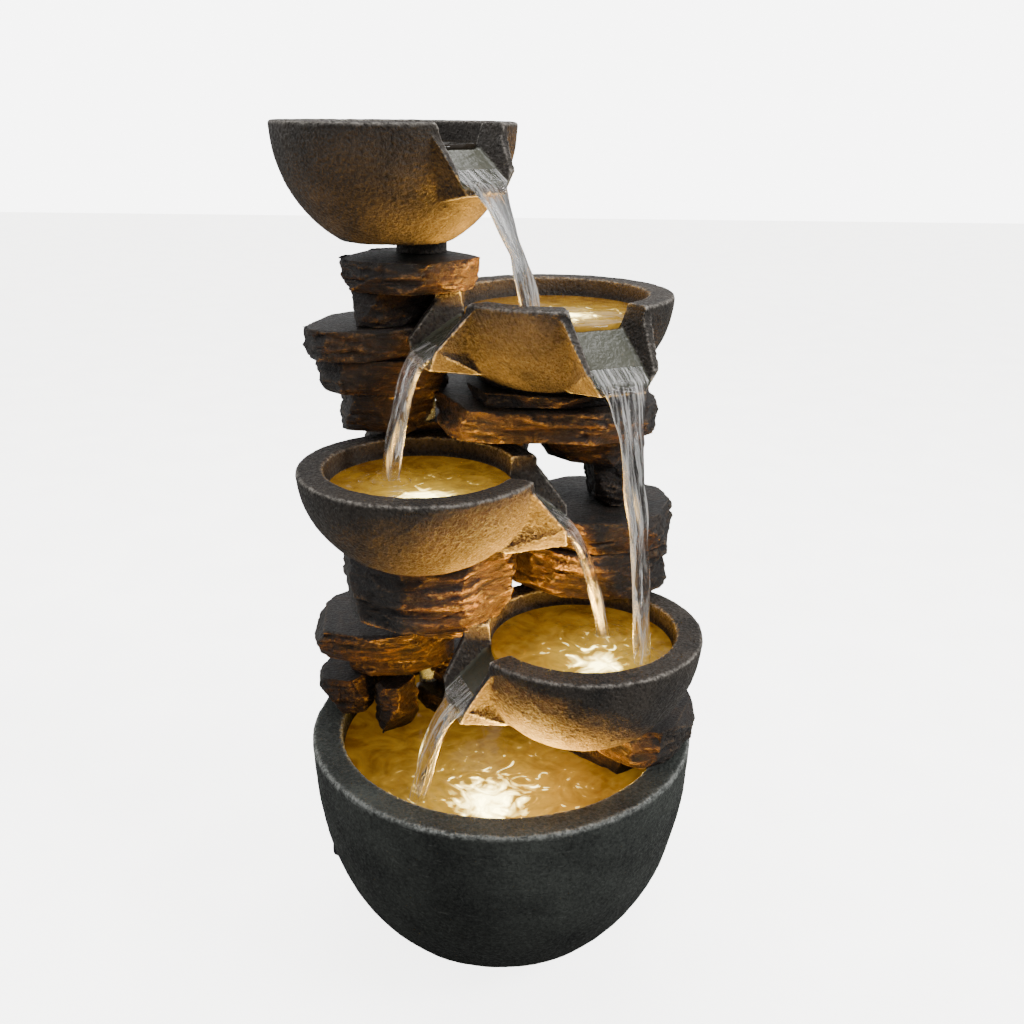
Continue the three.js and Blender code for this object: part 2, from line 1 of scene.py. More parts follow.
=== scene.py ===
"""Look of a tabletop water fountain: cast resin bowls on a split-slate column, with lit pools and falls.

Shapes are worked out in millimetres, as a maker gives them, and turned to metres when they become objects.
+Z is up and the viewer stands on the -Y side, as in the frame.
"""
import json
import logging
import math
from collections.abc import Callable, Sequence
from dataclasses import dataclass, field
from enum import Enum
from itertools import product

import bmesh
import bpy
import numpy as np
from mathutils import Euler, Matrix, Vector


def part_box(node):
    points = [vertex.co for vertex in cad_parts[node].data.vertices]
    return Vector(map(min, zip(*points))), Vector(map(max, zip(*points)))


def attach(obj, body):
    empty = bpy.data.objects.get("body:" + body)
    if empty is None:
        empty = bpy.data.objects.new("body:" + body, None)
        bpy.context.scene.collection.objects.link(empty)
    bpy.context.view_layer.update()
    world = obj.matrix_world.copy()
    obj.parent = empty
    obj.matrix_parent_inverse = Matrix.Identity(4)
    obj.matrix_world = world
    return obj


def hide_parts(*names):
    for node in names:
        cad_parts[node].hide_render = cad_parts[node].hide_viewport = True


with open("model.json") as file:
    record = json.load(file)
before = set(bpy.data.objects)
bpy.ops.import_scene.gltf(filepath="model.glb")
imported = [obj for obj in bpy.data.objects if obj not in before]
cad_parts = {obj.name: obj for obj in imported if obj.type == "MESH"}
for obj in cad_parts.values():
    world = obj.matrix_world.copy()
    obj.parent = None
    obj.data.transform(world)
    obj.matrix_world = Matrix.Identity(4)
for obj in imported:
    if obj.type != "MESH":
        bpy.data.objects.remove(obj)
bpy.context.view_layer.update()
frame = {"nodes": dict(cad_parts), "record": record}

LOG = logging.getLogger("fountain")
ROOT_BODY = "fountain"
MM = 0.001
Array = np.ndarray
Socket = bpy.types.NodeSocket
Mover = Callable[[Array, Array], Array]
Place = tuple[float, float, float]


# ---- numbers and noise ------------------------------------------------------
LATTICE_PRIMES = np.array([374761393, 668265263, 987643213])
SEED_PRIME = 362437
MIX_PRIME = 1274126177


def linear(hex_colour: str, alpha: float = 1.0) -> tuple[float, float, float, float]:
    """Turn an sRGB hex colour to linear light.

    Args:
        hex_colour: six hex digits, such as "3a3c3e".
        alpha: opacity to go with it.

    Returns:
        Red, green, blue and alpha for a colour socket.
    """
    parts = [int(hex_colour[i:i + 2], 16) / 255 for i in (0, 2, 4)]
    red, green, blue = (c / 12.92 if c <= 0.04045 else ((c + 0.055) / 1.055) ** 2.4 for c in parts)
    return red, green, blue, alpha


def noise(points: Array, seed: int) -> Array:
    """Smooth gradient noise, one lattice cell to a unit.

    Args:
        points: positions, one row each, already scaled to lattice cells.
        seed: which noise.

    Returns:
        One value for each point, about -0.7 to 0.7.
    """
    cell = np.floor(points).astype(np.int64)
    part = points - cell
    ease = part ** 3 * (part * (part * 6 - 15) + 10)
    total = np.zeros(len(points))
    for corner in product((0, 1), repeat=3):
        at = cell + corner
        mixed = (at @ LATTICE_PRIMES + seed * SEED_PRIME) & 0xFFFFFFFF
        mixed = ((mixed ^ (mixed >> 13)) * MIX_PRIME) & 0xFFFFFFFF
        mixed ^= mixed >> 16
        slopes = np.stack([(mixed >> shift & 1023) / 511.5 - 1 for shift in (0, 10, 20)], axis=1)
        weight = np.prod(np.where(np.array(corner) == 1, ease, 1 - ease), axis=1)
        total += weight * np.sum(slopes * (part - corner), axis=1)
    return total


def rough(points: Array, size_mm: float, seed: int, octaves: int = 3) -> Array:
    """Noise with finer noise on it.

    Args:
        points: positions in millimetres.
        size_mm: size of the largest lumps.
        seed: which noise.
        octaves: how many layers, each half the size and height of the last.

    Returns:
        One value for each point, about -1 to 1.
    """
    return sum(noise(points * 2 ** k / size_mm, seed + k) / 2 ** k for k in range(octaves))


# ---- meshes -----------------------------------------------------------------
@dataclass
class Blank:
    """Points and faces in millimetres, before they become an object."""

    points: list[Sequence[float]]
    faces: list[Sequence[int]]

    def mesh(self, name: str) -> bpy.types.Mesh:
        """Make the mesh, with its faces turned outwards."""
        made = bpy.data.meshes.new(name)
        made.from_pydata([tuple(p) for p in self.points], [], [tuple(f) for f in self.faces])
        shape = bmesh.new()
        shape.from_mesh(made)
        bmesh.ops.remove_doubles(shape, verts=shape.verts, dist=1e-4)
        bmesh.ops.recalc_face_normals(shape, faces=shape.faces)
        shape.to_mesh(made)
        shape.free()
        return made


def turned(profile: Sequence[tuple[float, float]], segments: int) -> Blank:
    """Turn a profile about +Z.

    Args:
        profile: radius and height of each point, from one end on the axis to the other.
        segments: steps round the turn.

    Returns:
        The closed turned blank.
    """
    points = [(r * math.cos(2 * math.pi * k / segments), r * math.sin(2 * math.pi * k / segments), z)
              for r, z in profile for k in range(segments)]
    faces = []
    for row in range(len(profile) - 1):
        for k in range(segments):
            a, b = row * segments + k, row * segments + (k + 1) % segments
            faces.append((a, b, b + segments, a + segments))
    return Blank(points, faces)


def reshape(mesh: bpy.types.Mesh, setup: Callable[[bpy.types.Object], None]) -> bpy.types.Mesh:
    """Run modifiers on a mesh and keep what they make.

    Args:
        mesh: the mesh to work on, which is used up.
        setup: adds the modifiers to a passing object.

    Returns:
        The new mesh, with no modifiers left on it.
    """
    holder = bpy.data.objects.new("holder", mesh)
    bpy.context.scene.collection.objects.link(holder)
    setup(holder)
    bpy.context.view_layer.update()
    done = bpy.data.meshes.new_from_object(holder.evaluated_get(bpy.context.evaluated_depsgraph_get()))
    bpy.data.objects.remove(holder)
    bpy.data.meshes.remove(mesh)
    return done


def remeshed(mesh: bpy.types.Mesh, voxel_mm: float) -> bpy.types.Mesh:
    """Rebuild a closed mesh in even quads of about the given size."""

    def add(holder: bpy.types.Object) -> None:
        """Add the voxel remesh."""
        remesh = holder.modifiers.new("even", "REMESH")
        remesh.mode = "VOXEL"
        remesh.voxel_size = voxel_mm

    return reshape(mesh, add)


def cut_and_joined(
    mesh: bpy.types.Mesh, joins: Sequence[bpy.types.Mesh], cuts: Sequence[bpy.types.Mesh]
) -> bpy.types.Mesh:
    """Join some solids to a solid and then cut others out of it.

    Args:
        mesh: the solid to start from.
        joins: solids to add.
        cuts: solids to take away.

    Returns:
        The finished solid.
    """
    helpers = []

    def add(holder: bpy.types.Object) -> None:
        """Add one boolean for each solid."""
        for operation, tools in (("UNION", joins), ("DIFFERENCE", cuts)):
            for tool in tools:
                other = bpy.data.objects.new("tool", tool)
                bpy.context.scene.collection.objects.link(other)
                helpers.append(other)
                step = holder.modifiers.new(operation, "BOOLEAN")
                step.operation, step.object, step.solver = operation, other, "EXACT"

    made = reshape(mesh, add)
    for helper in helpers:
        data = helper.data
        bpy.data.objects.remove(helper)
        bpy.data.meshes.remove(data)
    return made


def places_and_normals(mesh: bpy.types.Mesh) -> tuple[Array, Array]:
    """Return the mesh's vertex positions and normals as arrays of rows."""
    count = len(mesh.vertices)
    place, normal = np.empty(count * 3), np.empty(count * 3)
    mesh.vertices.foreach_get("co", place)
    mesh.vertices.foreach_get("normal", normal)
    return place.reshape(-1, 3), normal.reshape(-1, 3)


def moved(mesh: bpy.types.Mesh, mover: Mover) -> None:
    """Move every vertex to where mover puts it, given all positions and normals."""
    place, normal = places_and_normals(mesh)
    mesh.vertices.foreach_set("co", np.ascontiguousarray(mover(place, normal)).ravel())
    mesh.update()


def store(mesh: bpy.types.Mesh, name: str, values: Array) -> None:
    """Keep one number for each vertex under a name that a material can read."""
    mesh.attributes.new(name, "FLOAT", "POINT").data.foreach_set("value", values.astype(np.float32))


def edge_wear_and_highlight(mesh: bpy.types.Mesh, spread: int, least: float = 0.16, most: float = 0.5) -> Array:
    """Find the proud edges of a shape, which are painted pale: partly real wearing, partly a painted
    highlight.

    Args:
        mesh: an evenly meshed solid in millimetres.
        spread: how many quads the pale edge reaches.
        least: how proud a point is before it turns pale at all, in millimetres.
        most: how proud it is where it is fully pale.

    Returns:
        0 on flat and hollow surface, to about 1 on sharp proud edges.
    """
    place, normal = places_and_normals(mesh)
    pairs = np.empty(len(mesh.edges) * 2, dtype=np.int64)
    mesh.edges.foreach_get("vertices", pairs)
    a, b = pairs.reshape(-1, 2).T
    share = np.maximum(np.bincount(np.concatenate([a, b]), minlength=len(place)), 1)

    def mean(values: Array) -> Array:
        """Average over each vertex's neighbours."""
        total = np.bincount(a, values[b], len(values)) + np.bincount(b, values[a], len(values))
        return total / share

    smooth = place
    for _ in range(spread):
        smooth = np.stack([mean(smooth[:, k]) for k in range(3)], axis=1)
    height = np.sum((place - smooth) * normal, axis=1)
    return np.clip((height - least) / (most - least), 0, 1)


class Piece:
    """A finished piece: one object in metres that rides on a body."""

    def __init__(self, name: str, mesh: bpy.types.Mesh, material: bpy.types.Material, slot: str) -> None:
        """Make the object from a mesh in millimetres.

        Args:
            name: the piece's name.
            mesh: its mesh, in millimetres in the frame's place.
            material: its finish.
            slot: the record's material slot; not used.
        """
        moved(mesh, lambda place, _: place * MM)
        mesh.name = name
        mesh.materials.clear()
        mesh.materials.append(material)
        mesh.shade_smooth()
        self.object = bpy.data.objects.new(name, mesh)
        bpy.context.scene.collection.objects.link(self.object)
        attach(self.object, ROOT_BODY)
        LOG.info("%s: %d faces", name, len(mesh.polygons))

    def standing_for(self, *nodes: str) -> "Piece":
        """Show this piece in place of the frame's nodes."""
        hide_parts(*nodes)
        return self


# ---- finishes ---------------------------------------------------------------
class Shader:
    """The node tree of one material while it is wired up."""

    def __init__(self, name: str) -> None:
        """Start a material with an empty tree."""
        self.material = bpy.data.materials.new(name)
        self.material.use_nodes = True
        self.material.node_tree.nodes.clear()

    def add(self, kind: str, inputs: dict | None = None, **settings: object) -> bpy.types.Node:
        """Add a node with its settings and links.

        Args:
            kind: the node type without its "ShaderNode" start.
            inputs: socket name or number to a value, or to an output socket to link.
            **settings: the node's own properties.

        Returns:
            The new node.
        """
        node = self.material.node_tree.nodes.new("ShaderNode" + kind)
        for key, value in settings.items():
            setattr(node, key, value)
        for key, value in (inputs or {}).items():
            if isinstance(value, bpy.types.NodeSocket):
                self.material.node_tree.links.new(value, node.inputs[key])
            else:
                node.inputs[key].default_value = value
        return node

    def texture(self, kind: str, place: Socket, size_mm: float, **inputs: float) -> Socket:
        """Add a pattern whose features are about size_mm across, and return its first output."""
        sockets = {"Vector": place, "Scale": 1 / (size_mm * MM)}
        sockets.update({key.replace("_", " ").title(): value for key, value in inputs.items()})
        return self.add(kind, sockets).outputs[0]

    def squeezed(self, x: float, y: float, z: float) -> Socket:
        """Return the piece's own coordinates stretched by a factor each way, for grain."""
        place = self.add("TexCoord").outputs["Object"]
        return self.add("Mapping", {"Vector": place, "Scale": (x, y, z)}).outputs[0]

    def maths(self, operation: str, a: object, b: object = 0.0, clamp: bool = False) -> Socket:
        """Combine two values or sockets."""
        return self.add("Math", {0: a, 1: b}, operation=operation, use_clamp=clamp).outputs[0]

    def between(self, value: object, low: float, high: float, to_low: float = 0.0,
                to_high: float = 1.0) -> Socket:
        """Stretch a value from one range to another, held inside it."""
        return self.add("MapRange", {0: value, 1: low, 2: high, 3: to_low, 4: to_high}).outputs[0]

    def tint(self, amount: object, dark: object, light: object, mode: str = "MIX") -> Socket:
        """Mix two colours by an amount."""
        return self.add("MixRGB", {0: amount, 1: dark, 2: light}, blend_type=mode).outputs[0]

    def finish(self, surface: bpy.types.Node) -> bpy.types.Material:
        """Wire the surface to the output and return the material."""
        self.add("OutputMaterial", {"Surface": surface.outputs[0]})
        return self.material


@dataclass(frozen=True)
class CastStoneResin:
    """Stone-filled polyester resin, cast in a stippled mould and dry-brushed by hand.

    The eye sees a close sandy grain that catches the light on its tips, darker pits, soft cloudy
    patches from hand colouring, and pale edges, partly real wearing and partly a painted highlight.
    The real stipple is about 0.8 mm; the grain is drawn coarser so that it shows.
    """

    name: str
    dark: str
    light: str
    worn_and_highlight: str
    grain_mm: float = 1.45
    pit_mm: float = 5.0
    cloud_mm: float = 26.0
    relief_mm: float = 1.7
    scratches: float = 0.0
    # The foot range and its factor paint shade: the colour darkens towards the bottom of the range.
    foot: tuple[float, float] = (-1.0, 0.0)
    painted_foot_shade: float = 1.0
    sheen: float = 0.3

    def make(self) -> bpy.types.Material:
        """Build the material."""
        shader = Shader(self.name)
        place = shader.squeezed(1, 1, 1)
        grain = shader.texture("TexNoise", place, self.grain_mm, detail=3.0, roughness=0.55, distortion=0.5)
        cloud = shader.texture("TexNoise", place, self.cloud_mm, detail=4.0, roughness=0.62)
        cells = shader.texture("TexVoronoi", place, self.pit_mm, randomness=1.0)
        pits = shader.between(cells, 0.0, 0.22, 1.0, 0.0)
        streak = shader.texture("TexNoise", shader.squeezed(0.2, 0.2, 1.2), 1.6, detail=6.0, roughness=0.75,
                                distortion=1.2)
        scored = shader.maths("MULTIPLY", shader.between(streak, 0.6, 0.72), self.scratches)
        tone = shader.maths("ADD", shader.between(grain, 0.3, 0.8, 0.25, 0.6),
                            shader.between(cloud, 0.3, 0.7, -0.3, 0.3), True)
        colour = shader.tint(tone, linear(self.dark), linear(self.light))
        colour = shader.tint(shader.maths("MULTIPLY", pits, 0.35), colour, linear("0b0a08"))
        colour = shader.tint(shader.maths("MULTIPLY", scored, 0.4), colour, linear(self.worn_and_highlight))
        # Painted shade: the colour is multiplied down towards the bottom, standing in for the lower part's
        # shade.
        height_up = shader.add("SeparateXYZ", {0: place}).outputs[2]
        shade = shader.between(height_up, self.foot[0] * MM, self.foot[1] * MM, self.painted_foot_shade, 1.0)
        colour = shader.tint(1.0, colour, shader.add("CombineXYZ", {0: shade, 1: shade, 2: shade}).outputs[0],
                             "MULTIPLY")
        # Pale edges: partly real wearing, partly a painted highlight along proud edges and rims.
        wear_and_highlight = shader.add("Attribute", attribute_name="wear_and_highlight").outputs["Fac"]
        rubbed_and_highlit = shader.maths("MULTIPLY", wear_and_highlight, shader.between(grain, 0.35, 0.6, 0.25, 1.0), True)
        colour = shader.tint(rubbed_and_highlit, colour, linear(self.worn_and_highlight))
        wet = shader.add("Attribute", attribute_name="wet").outputs["Fac"]
        colour = shader.tint(shader.maths("MULTIPLY", wet, 0.8), colour, linear("4c4d42"))
        height = shader.maths("SUBTRACT", grain, shader.maths("MULTIPLY", pits, 0.4))
        height = shader.maths("ADD", height, shader.maths("MULTIPLY", streak, self.scratches))
        dry = shader.maths("SUBTRACT", 1.0, shader.maths("MULTIPLY", wet, 0.75))
        bump = shader.add("Bump", {"Strength": dry, "Distance": self.relief_mm * MM, "Height": height})
        gloss = shader.maths("MULTIPLY", shader.between(grain, 0.35, 0.65, 0.8, 0.42), dry)
        return shader.finish(shader.add("BsdfPrincipled", {
            "Base Color": colour, "Roughness": gloss, "IOR": 1.5, "Specular IOR Level": self.sheen,
            "Normal": bump.outputs[0]}))


@dataclass(frozen=True)
class SplitSlateResin:
    """Dark resin moulded from split slate and sealed with a satin lacquer.

    The eye sees near-black faces, thin brown and rust courses that run level round each rock,
    and a damp satin shine that picks out every broken ledge.  The proud ledges are also painted pale,
    partly real wearing and partly a painted highlight.
    """

    name: str = "lacquered split-slate resin, moulded"
    dark: str = "080706"
    brown: str = "21170e"
    rust: str = "3c2815"
    worn_and_highlight: str = "7d6549"
    course_mm: float = 3.4

    def make(self) -> bpy.types.Material:
        """Build the material."""
        shader = Shader(self.name)
        level = shader.squeezed(0.22, 0.22, 1.0)
        course = shader.texture("TexNoise", level, self.course_mm, detail=6.0, roughness=0.6, distortion=1.4)
        fine = shader.texture("TexNoise", shader.squeezed(0.7, 0.7, 1.1), 1.0, detail=4.0, roughness=0.65)
        blotch = shader.texture("TexNoise", shader.squeezed(1, 1, 1), 15.0, detail=3.0)
        colour = shader.tint(shader.between(course, 0.36, 0.62), linear(self.dark), linear(self.brown))
        patch = shader.between(blotch, 0.42, 0.62)
        rusty = shader.maths("MULTIPLY", shader.between(course, 0.55, 0.7), patch)
        colour = shader.tint(rusty, colour, linear(self.rust))
        # Pale ledges: partly real wearing, partly a painted highlight along proud edges.
        wear_and_highlight = shader.add("Attribute", attribute_name="wear_and_highlight").outputs["Fac"]
        rubbed_and_highlit = shader.maths("MULTIPLY", wear_and_highlight, shader.between(fine, 0.4, 0.65))
        colour = shader.tint(rubbed_and_highlit, colour, linear(self.worn_and_highlight))
        height = shader.maths("ADD", shader.maths("MULTIPLY", course, 0.8),
                              shader.maths("MULTIPLY", fine, 0.7))
        bump = shader.add("Bump", {"Strength": 1.0, "Distance": 2.2 * MM, "Height": height})
        return shader.finish(shader.add("BsdfPrincipled", {
            "Base Color": colour, "Roughness": shader.between(fine, 0.3, 0.7, 0.34, 0.6), "IOR": 1.5,
            "Specular IOR Level": 0.45, "Normal": bump.outputs[0]}))


@dataclass(frozen=True)
class Moulding:
    """A small moulded or ground part with a plain fine surface.

    The eye sees one even colour, slightly clouded, with a faint skin texture that breaks up the shine.
    """

    name: str
    colour: str
    shade: str
    roughness: float
    skin_mm: float = 0.8
    transmission: float = 0.0
    glow: float = 0.0

    def make(self) -> bpy.types.Material:
        """Build the material."""
        shader = Shader(self.name)
        place = shader.squeezed(1, 1, 1)
        skin = shader.texture("TexNoise", place, self.skin_mm, detail=3.0)
        colour = shader.tint(shader.between(skin, 0.3, 0.7), linear(self.shade), linear(self.colour))
        bump = shader.add("Bump", {"Strength": 0.25, "Distance": 0.08 * MM, "Height": skin})
        rough_skin = shader.between(skin, 0.3, 0.7, self.roughness, self.roughness + 0.12)
        return shader.finish(shader.add("BsdfPrincipled", {
            "Base Color": colour, "Roughness": rough_skin, "Transmission Weight": self.transmission,
            "Emission Color": linear(self.colour), "Emission Strength": self.glow,
            "Normal": bump.outputs[0]}))


@dataclass(frozen=True)
class PoolWater:
    """Moving water with a warm lamp under it.

    The eye sees amber swirls, bright wandering lines of focused light, a hot spot over the lamp
    that burns out to white, and a glossy rippled skin.  The glow, the hot spot and the lines of light
    are painted, in colour and emission round a point over the lamp.
    """

    name: str
    hot_spot: tuple[float, float, float]
    reach_mm: float
    deep: str = "7a4c10"
    amber: str = "b58428"
    pale: str = "ffd758"
    glow: float = 0.4
    heat: float = 9.0

    def make(self) -> bpy.types.Material:
        """Build the material."""
        shader = Shader(self.name)
        place = shader.squeezed(1, 1, 1)
        drift = shader.texture("TexNoise", place, 19.0, detail=4.0, distortion=1.8)
        curl = shader.texture("TexNoise", place, 11.0, detail=2.0, distortion=2.0)
        # Painted light from here: a glow, a hot spot and glints drawn round the point over the lamp.
        spot = tuple(v * MM for v in self.hot_spot)
        away = shader.add("VectorMath", {0: place, 1: spot}, operation="DISTANCE")
        far = shader.maths("MULTIPLY", away.outputs["Value"], 1 / MM)
        ragged = self.reach_mm * 0.12
        far = shader.maths("ADD", far, shader.between(curl, 0.25, 0.75, ragged, -ragged))
        near = shader.between(far, 0.0, self.reach_mm, 1.0, 0.0)
        soft = shader.maths("POWER", near, 2.2)
        core = shader.between(far, self.reach_mm * 0.03, self.reach_mm * 0.2, 1.0, 0.0)
        glint = shader.maths("MULTIPLY", shader.between(curl, 0.65, 0.69), shader.between(near, 0.55, 0.8))
        colour = shader.tint(shader.between(drift, 0.3, 0.7), linear(self.deep), linear(self.amber))
        # Painted glow in the colour: pale near the spot, near white at the core and along the glints.
        colour = shader.tint(shader.maths("MULTIPLY", soft, 0.8, True), colour, linear(self.pale))
        colour = shader.tint(shader.maths("MAXIMUM", core, glint), colour, linear("fff0a0"))
        # Painted glow as emission: a faint even glow, stronger near the spot, strongest at the core and
        # glints.
        power = shader.maths("ADD", shader.maths("MULTIPLY", soft, self.glow * 2.0), self.glow)
        power = shader.maths("ADD", power, shader.maths("MULTIPLY", core, self.heat))
        power = shader.maths("ADD", power, shader.maths("MULTIPLY", glint, self.heat * 0.35))
        ripple = shader.texture("TexNoise", place, 6.0, detail=2.0, distortion=1.0)
        bump = shader.add("Bump", {"Strength": 0.35, "Distance": 1.2 * MM, "Height": ripple})
        return shader.finish(shader.add("BsdfPrincipled", {
            "Base Color": shader.tint(0.75, colour, linear("1a1206")), "Roughness": 0.06, "IOR": 1.33,
            "Emission Color": colour, "Emission Strength": power, "Normal": bump.outputs[0]}))


@dataclass(frozen=True)
class FallingWater:
    """A sheet of falling water with air drawn into it.

    The eye sees clear strands that bend what lies behind them, with white streaks along the flow.
    """

    name: str = "falling water, streaked with air"

    def make(self) -> bpy.types.Material:
        """Build the material."""
        shader = Shader(self.name)
        across = shader.add("Attribute", attribute_name="across").outputs["Fac"]
        along = shader.add("Attribute", attribute_name="along").outputs["Fac"]
        flow = shader.add("CombineXYZ", {0: across, 1: along}).outputs[0]
        pattern = {"Vector": flow, "Scale": 1.0, "Detail": 3.0, "Roughness": 0.6}
        streak = shader.add("TexNoise", pattern).outputs[0]
        airy = shader.between(streak, 0.5, 0.66, 0.02, 0.7)
        bump = shader.add("Bump", {"Strength": 0.5, "Distance": 0.8 * MM, "Height": streak})
        clear = shader.add("BsdfPrincipled", {
            "Base Color": linear("ffffff"), "Roughness": 0.02, "IOR": 1.22, "Transmission Weight": 1.0,
            "Normal": bump.outputs[0]})
        white = shader.add("BsdfPrincipled", {
            "Base Color": linear("f4f2ee"), "Roughness": 0.25, "IOR": 1.33, "Transmission Weight": 0.45,
            "Normal": bump.outputs[0]})
        return shader.finish(shader.add("MixShader", {0: airy, 1: clear.outputs[0], 2: white.outputs[0]}))


@dataclass(frozen=True)
class PaintedBoard:
    """A pale board under the object, painted matt, with the faint mottle of a roller.

    The eye sees it nearly white, while it throws little light back up at the object.
    """

    name: str = "matt white emulsion on board"

    def make(self) -> bpy.types.Material:
        """Build the material."""
        shader = Shader(self.name)
        mottle = shader.texture("TexNoise", shader.squeezed(1, 1, 1), 60.0, detail=3.0)
        colour = shader.tint(shader.between(mottle, 0.3, 0.7), linear("f1f0ee"), linear("f6f5f3"))
        seen = shader.add("LightPath").outputs["Is Camera Ray"]
        base = shader.tint(seen, linear("8c8c8a"), colour)
        return shader.finish(shader.add("BsdfPrincipled", {
            "Base Color": base, "Roughness": 0.85, "Emission Color": colour,
            "Emission Strength": shader.maths("MULTIPLY", seen, 5.0)}))


# ---- the cascade bowls ------------------------------------------------------
class Side(Enum):
    """Which side of a bowl's box its round rim reaches, clear of any spout."""

    LOW = 0
    HIGH = 1


@dataclass(frozen=True)
class Fall:
    """A spout and the water that leaves it, in millimetres from the bowl's centre and rim plane."""

    azimuth: float
    reach: float
    drop: float
    heading: float
    run: float
    half_width: float
    end_half_width: float
    lands_in: str


@dataclass
class CascadeBowl:
    """A thick half-round bowl with its moulded spouts."""

    name: str
    round_side: Side
    falls: list[Fall]
    hot_spot: tuple[float, float] | None = None
    radius: float = 55.0
    fullness: float = 58 / 51.5
    inner_radius: float = 42.5
    inner_fullness: float = 44 / 34
    floor: float = 17.5
    rim_round: float = 1.6
    water_drop: float = 9.0
    entry_floor: float = 11.0
    entry_half_width: float = 12.0
    lip_half_width: float = 12.5
    lean: float = 0.35
    cheek: float = 10.5
    lip_cheek: float = 5.0
    taper: float = 0.7
    most_taper: float = 10.0
    cheek_start: float = 48.0
    slope_start: float = 43.0
    cheek_end: float = 5.0
    lip_thickness: float = 5.0
    voxel: float = 0.8
    centre: Vector = field(init=False)
    depth: float = field(init=False)

    def __post_init__(self) -> None:
        """Find the rim's centre from the frame's box for this bowl."""
        low, high = (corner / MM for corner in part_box(self.name))
        x = low.x + self.radius if self.round_side is Side.LOW else high.x - self.radius
        self.centre = Vector((x, high.y - self.radius, high.z))
        self.depth = high.z - low.z

    @property
    def inner_depth(self) -> float:
        """Depth of the inside floor below the rim."""
        return self.depth - self.floor

    def outer_at(self, depth: float) -> float:
        """Return the outside radius at a depth below the rim."""
        return self.radius * math.sqrt(1 - (depth / (self.depth * self.fullness)) ** 2)

    def inner_at(self, depth: float) -> float:
        """Return the inside radius at a depth below the rim."""
        return self.inner_radius * math.sqrt(1 - (depth / (self.inner_depth * self.inner_fullness)) ** 2)

    def pool_circle(self) -> tuple[float, float, float]:
        """Return the middle and radius of the water's surface."""
        return self.centre.x, self.centre.y, self.inner_at(self.water_drop)

    def section(self) -> list[tuple[float, float]]:
        """Return the bowl's section, from the middle of its foot over the rim to its inside floor."""
        steps = 28
        points = [(0.0, -self.depth)]
        for i in range(steps):
            depth = self.depth * (1 - i / steps) ** 1.3
            if depth > self.rim_round:
                points.append((self.outer_at(depth), -depth))
        points += [(self.radius, -self.rim_round), (self.radius - 0.4, -0.4),
                   (self.radius - self.rim_round, 0.0), (self.inner_radius + self.rim_round, 0.0),
                   (self.inner_radius + 0.4, -0.4)]
        for i in range(1, steps + 1):
            depth = self.inner_depth * (i / steps) ** 0.8
            points.append((self.inner_at(depth), -depth))
        return [*points, (0.0, -self.inner_depth)]

    def channel_half_width(self, out: float, fall: Fall) -> float:
        """Return half the width of a spout's channel at a distance out from the centre."""
        slope = (self.lip_half_width - self.entry_half_width) / (fall.reach - self.inner_radius)
        return self.entry_half_width + slope * (out - self.inner_radius)

    def steepness(self, fall: Fall) -> float:
        """Return how far a spout's floor drops for each millimetre outwards."""
        return (fall.drop - self.entry_floor) / (fall.reach - self.slope_start)

    def channel_floor(self, out: float, fall: Fall) -> float:
        """Return the height of a spout's floor, from the rim, at a distance out from the centre."""
        return -self.entry_floor - max(0.0, out - self.slope_start) * self.steepness(fall)

    def cheek_width(self, out: float, fall: Fall) -> float:
        """Return the width of a spout's cheek at a distance out from the centre."""
        along = min(1.0, max(0.0, (out - self.cheek_start) / (fall.reach - self.cheek_start)))
        return self.cheek + (self.lip_cheek - self.cheek) * along

    def drawn_in(self, out: float, height: float, fall: Fall) -> float:
        """Return how far a spout's side leans in at a place under the top of its cheek."""
        slope = (self.cheek_end - fall.drop) / (fall.reach - self.cheek_start)
        top = min(0.0, max(self.cheek_end - fall.drop, (out - self.cheek_start) * slope))
        return min(self.most_taper, max(0.0, (top - height) * self.taper))

    def wedge(self, outline: Sequence[tuple[float, float]], fall: Fall, cheek: bool) -> bpy.types.Mesh:
        """Widen a side outline to both sides and aim it along a spout.

        Args:
            outline: distance out and height of each corner.
            fall: the spout that it belongs to.
            cheek: whether it has the cheeks' width and lean, or just the channel's width.

        Returns:
            The solid, round the bowl's centre.
        """
        turn = math.radians(fall.azimuth)
        points = []
        for side in (-1, 1):
            for out, height in outline:
                if cheek:
                    extra = self.cheek_width(out, fall) - self.drawn_in(out, height, fall)
                else:
                    extra = self.lean * (height - self.channel_floor(out, fall))
                across = side * (self.channel_half_width(out, fall) + extra)
                points.append((out * math.cos(turn) - across * math.sin(turn),
                               out * math.sin(turn) + across * math.cos(turn), height))
        count = len(outline)
        faces = [tuple(range(count)), tuple(range(count, 2 * count))]
        faces += [(k, (k + 1) % count, (k + 1) % count + count, k + count) for k in range(count)]
        return Blank(points, faces).mesh("wedge")

    def block(self, fall: Fall) -> bpy.types.Mesh:
        """Return the solid wedge that a spout is cut into."""
        under = -fall.drop - self.lip_thickness
        outline = [(46, 0), (self.cheek_start, 0), (fall.reach, self.cheek_end - fall.drop),
                   (fall.reach + 0.5, under), (40, under - 4), (33, under - 3), (41, -22)]
        return self.wedge(outline, fall, True)

    def channel(self, fall: Fall) -> list[bpy.types.Mesh]:
        """Return the spaces that the water runs through: a level start, then a slope."""
        past = fall.reach + 3
        parts = []
        for near, far in ((28.0, self.slope_start + 0.01), (self.slope_start, past)):
            start, end = self.channel_floor(near, fall), self.channel_floor(far, fall)
            parts.append(self.wedge([(near, 3), (near, start), (far, end), (far, 3)], fall, False))
        return parts

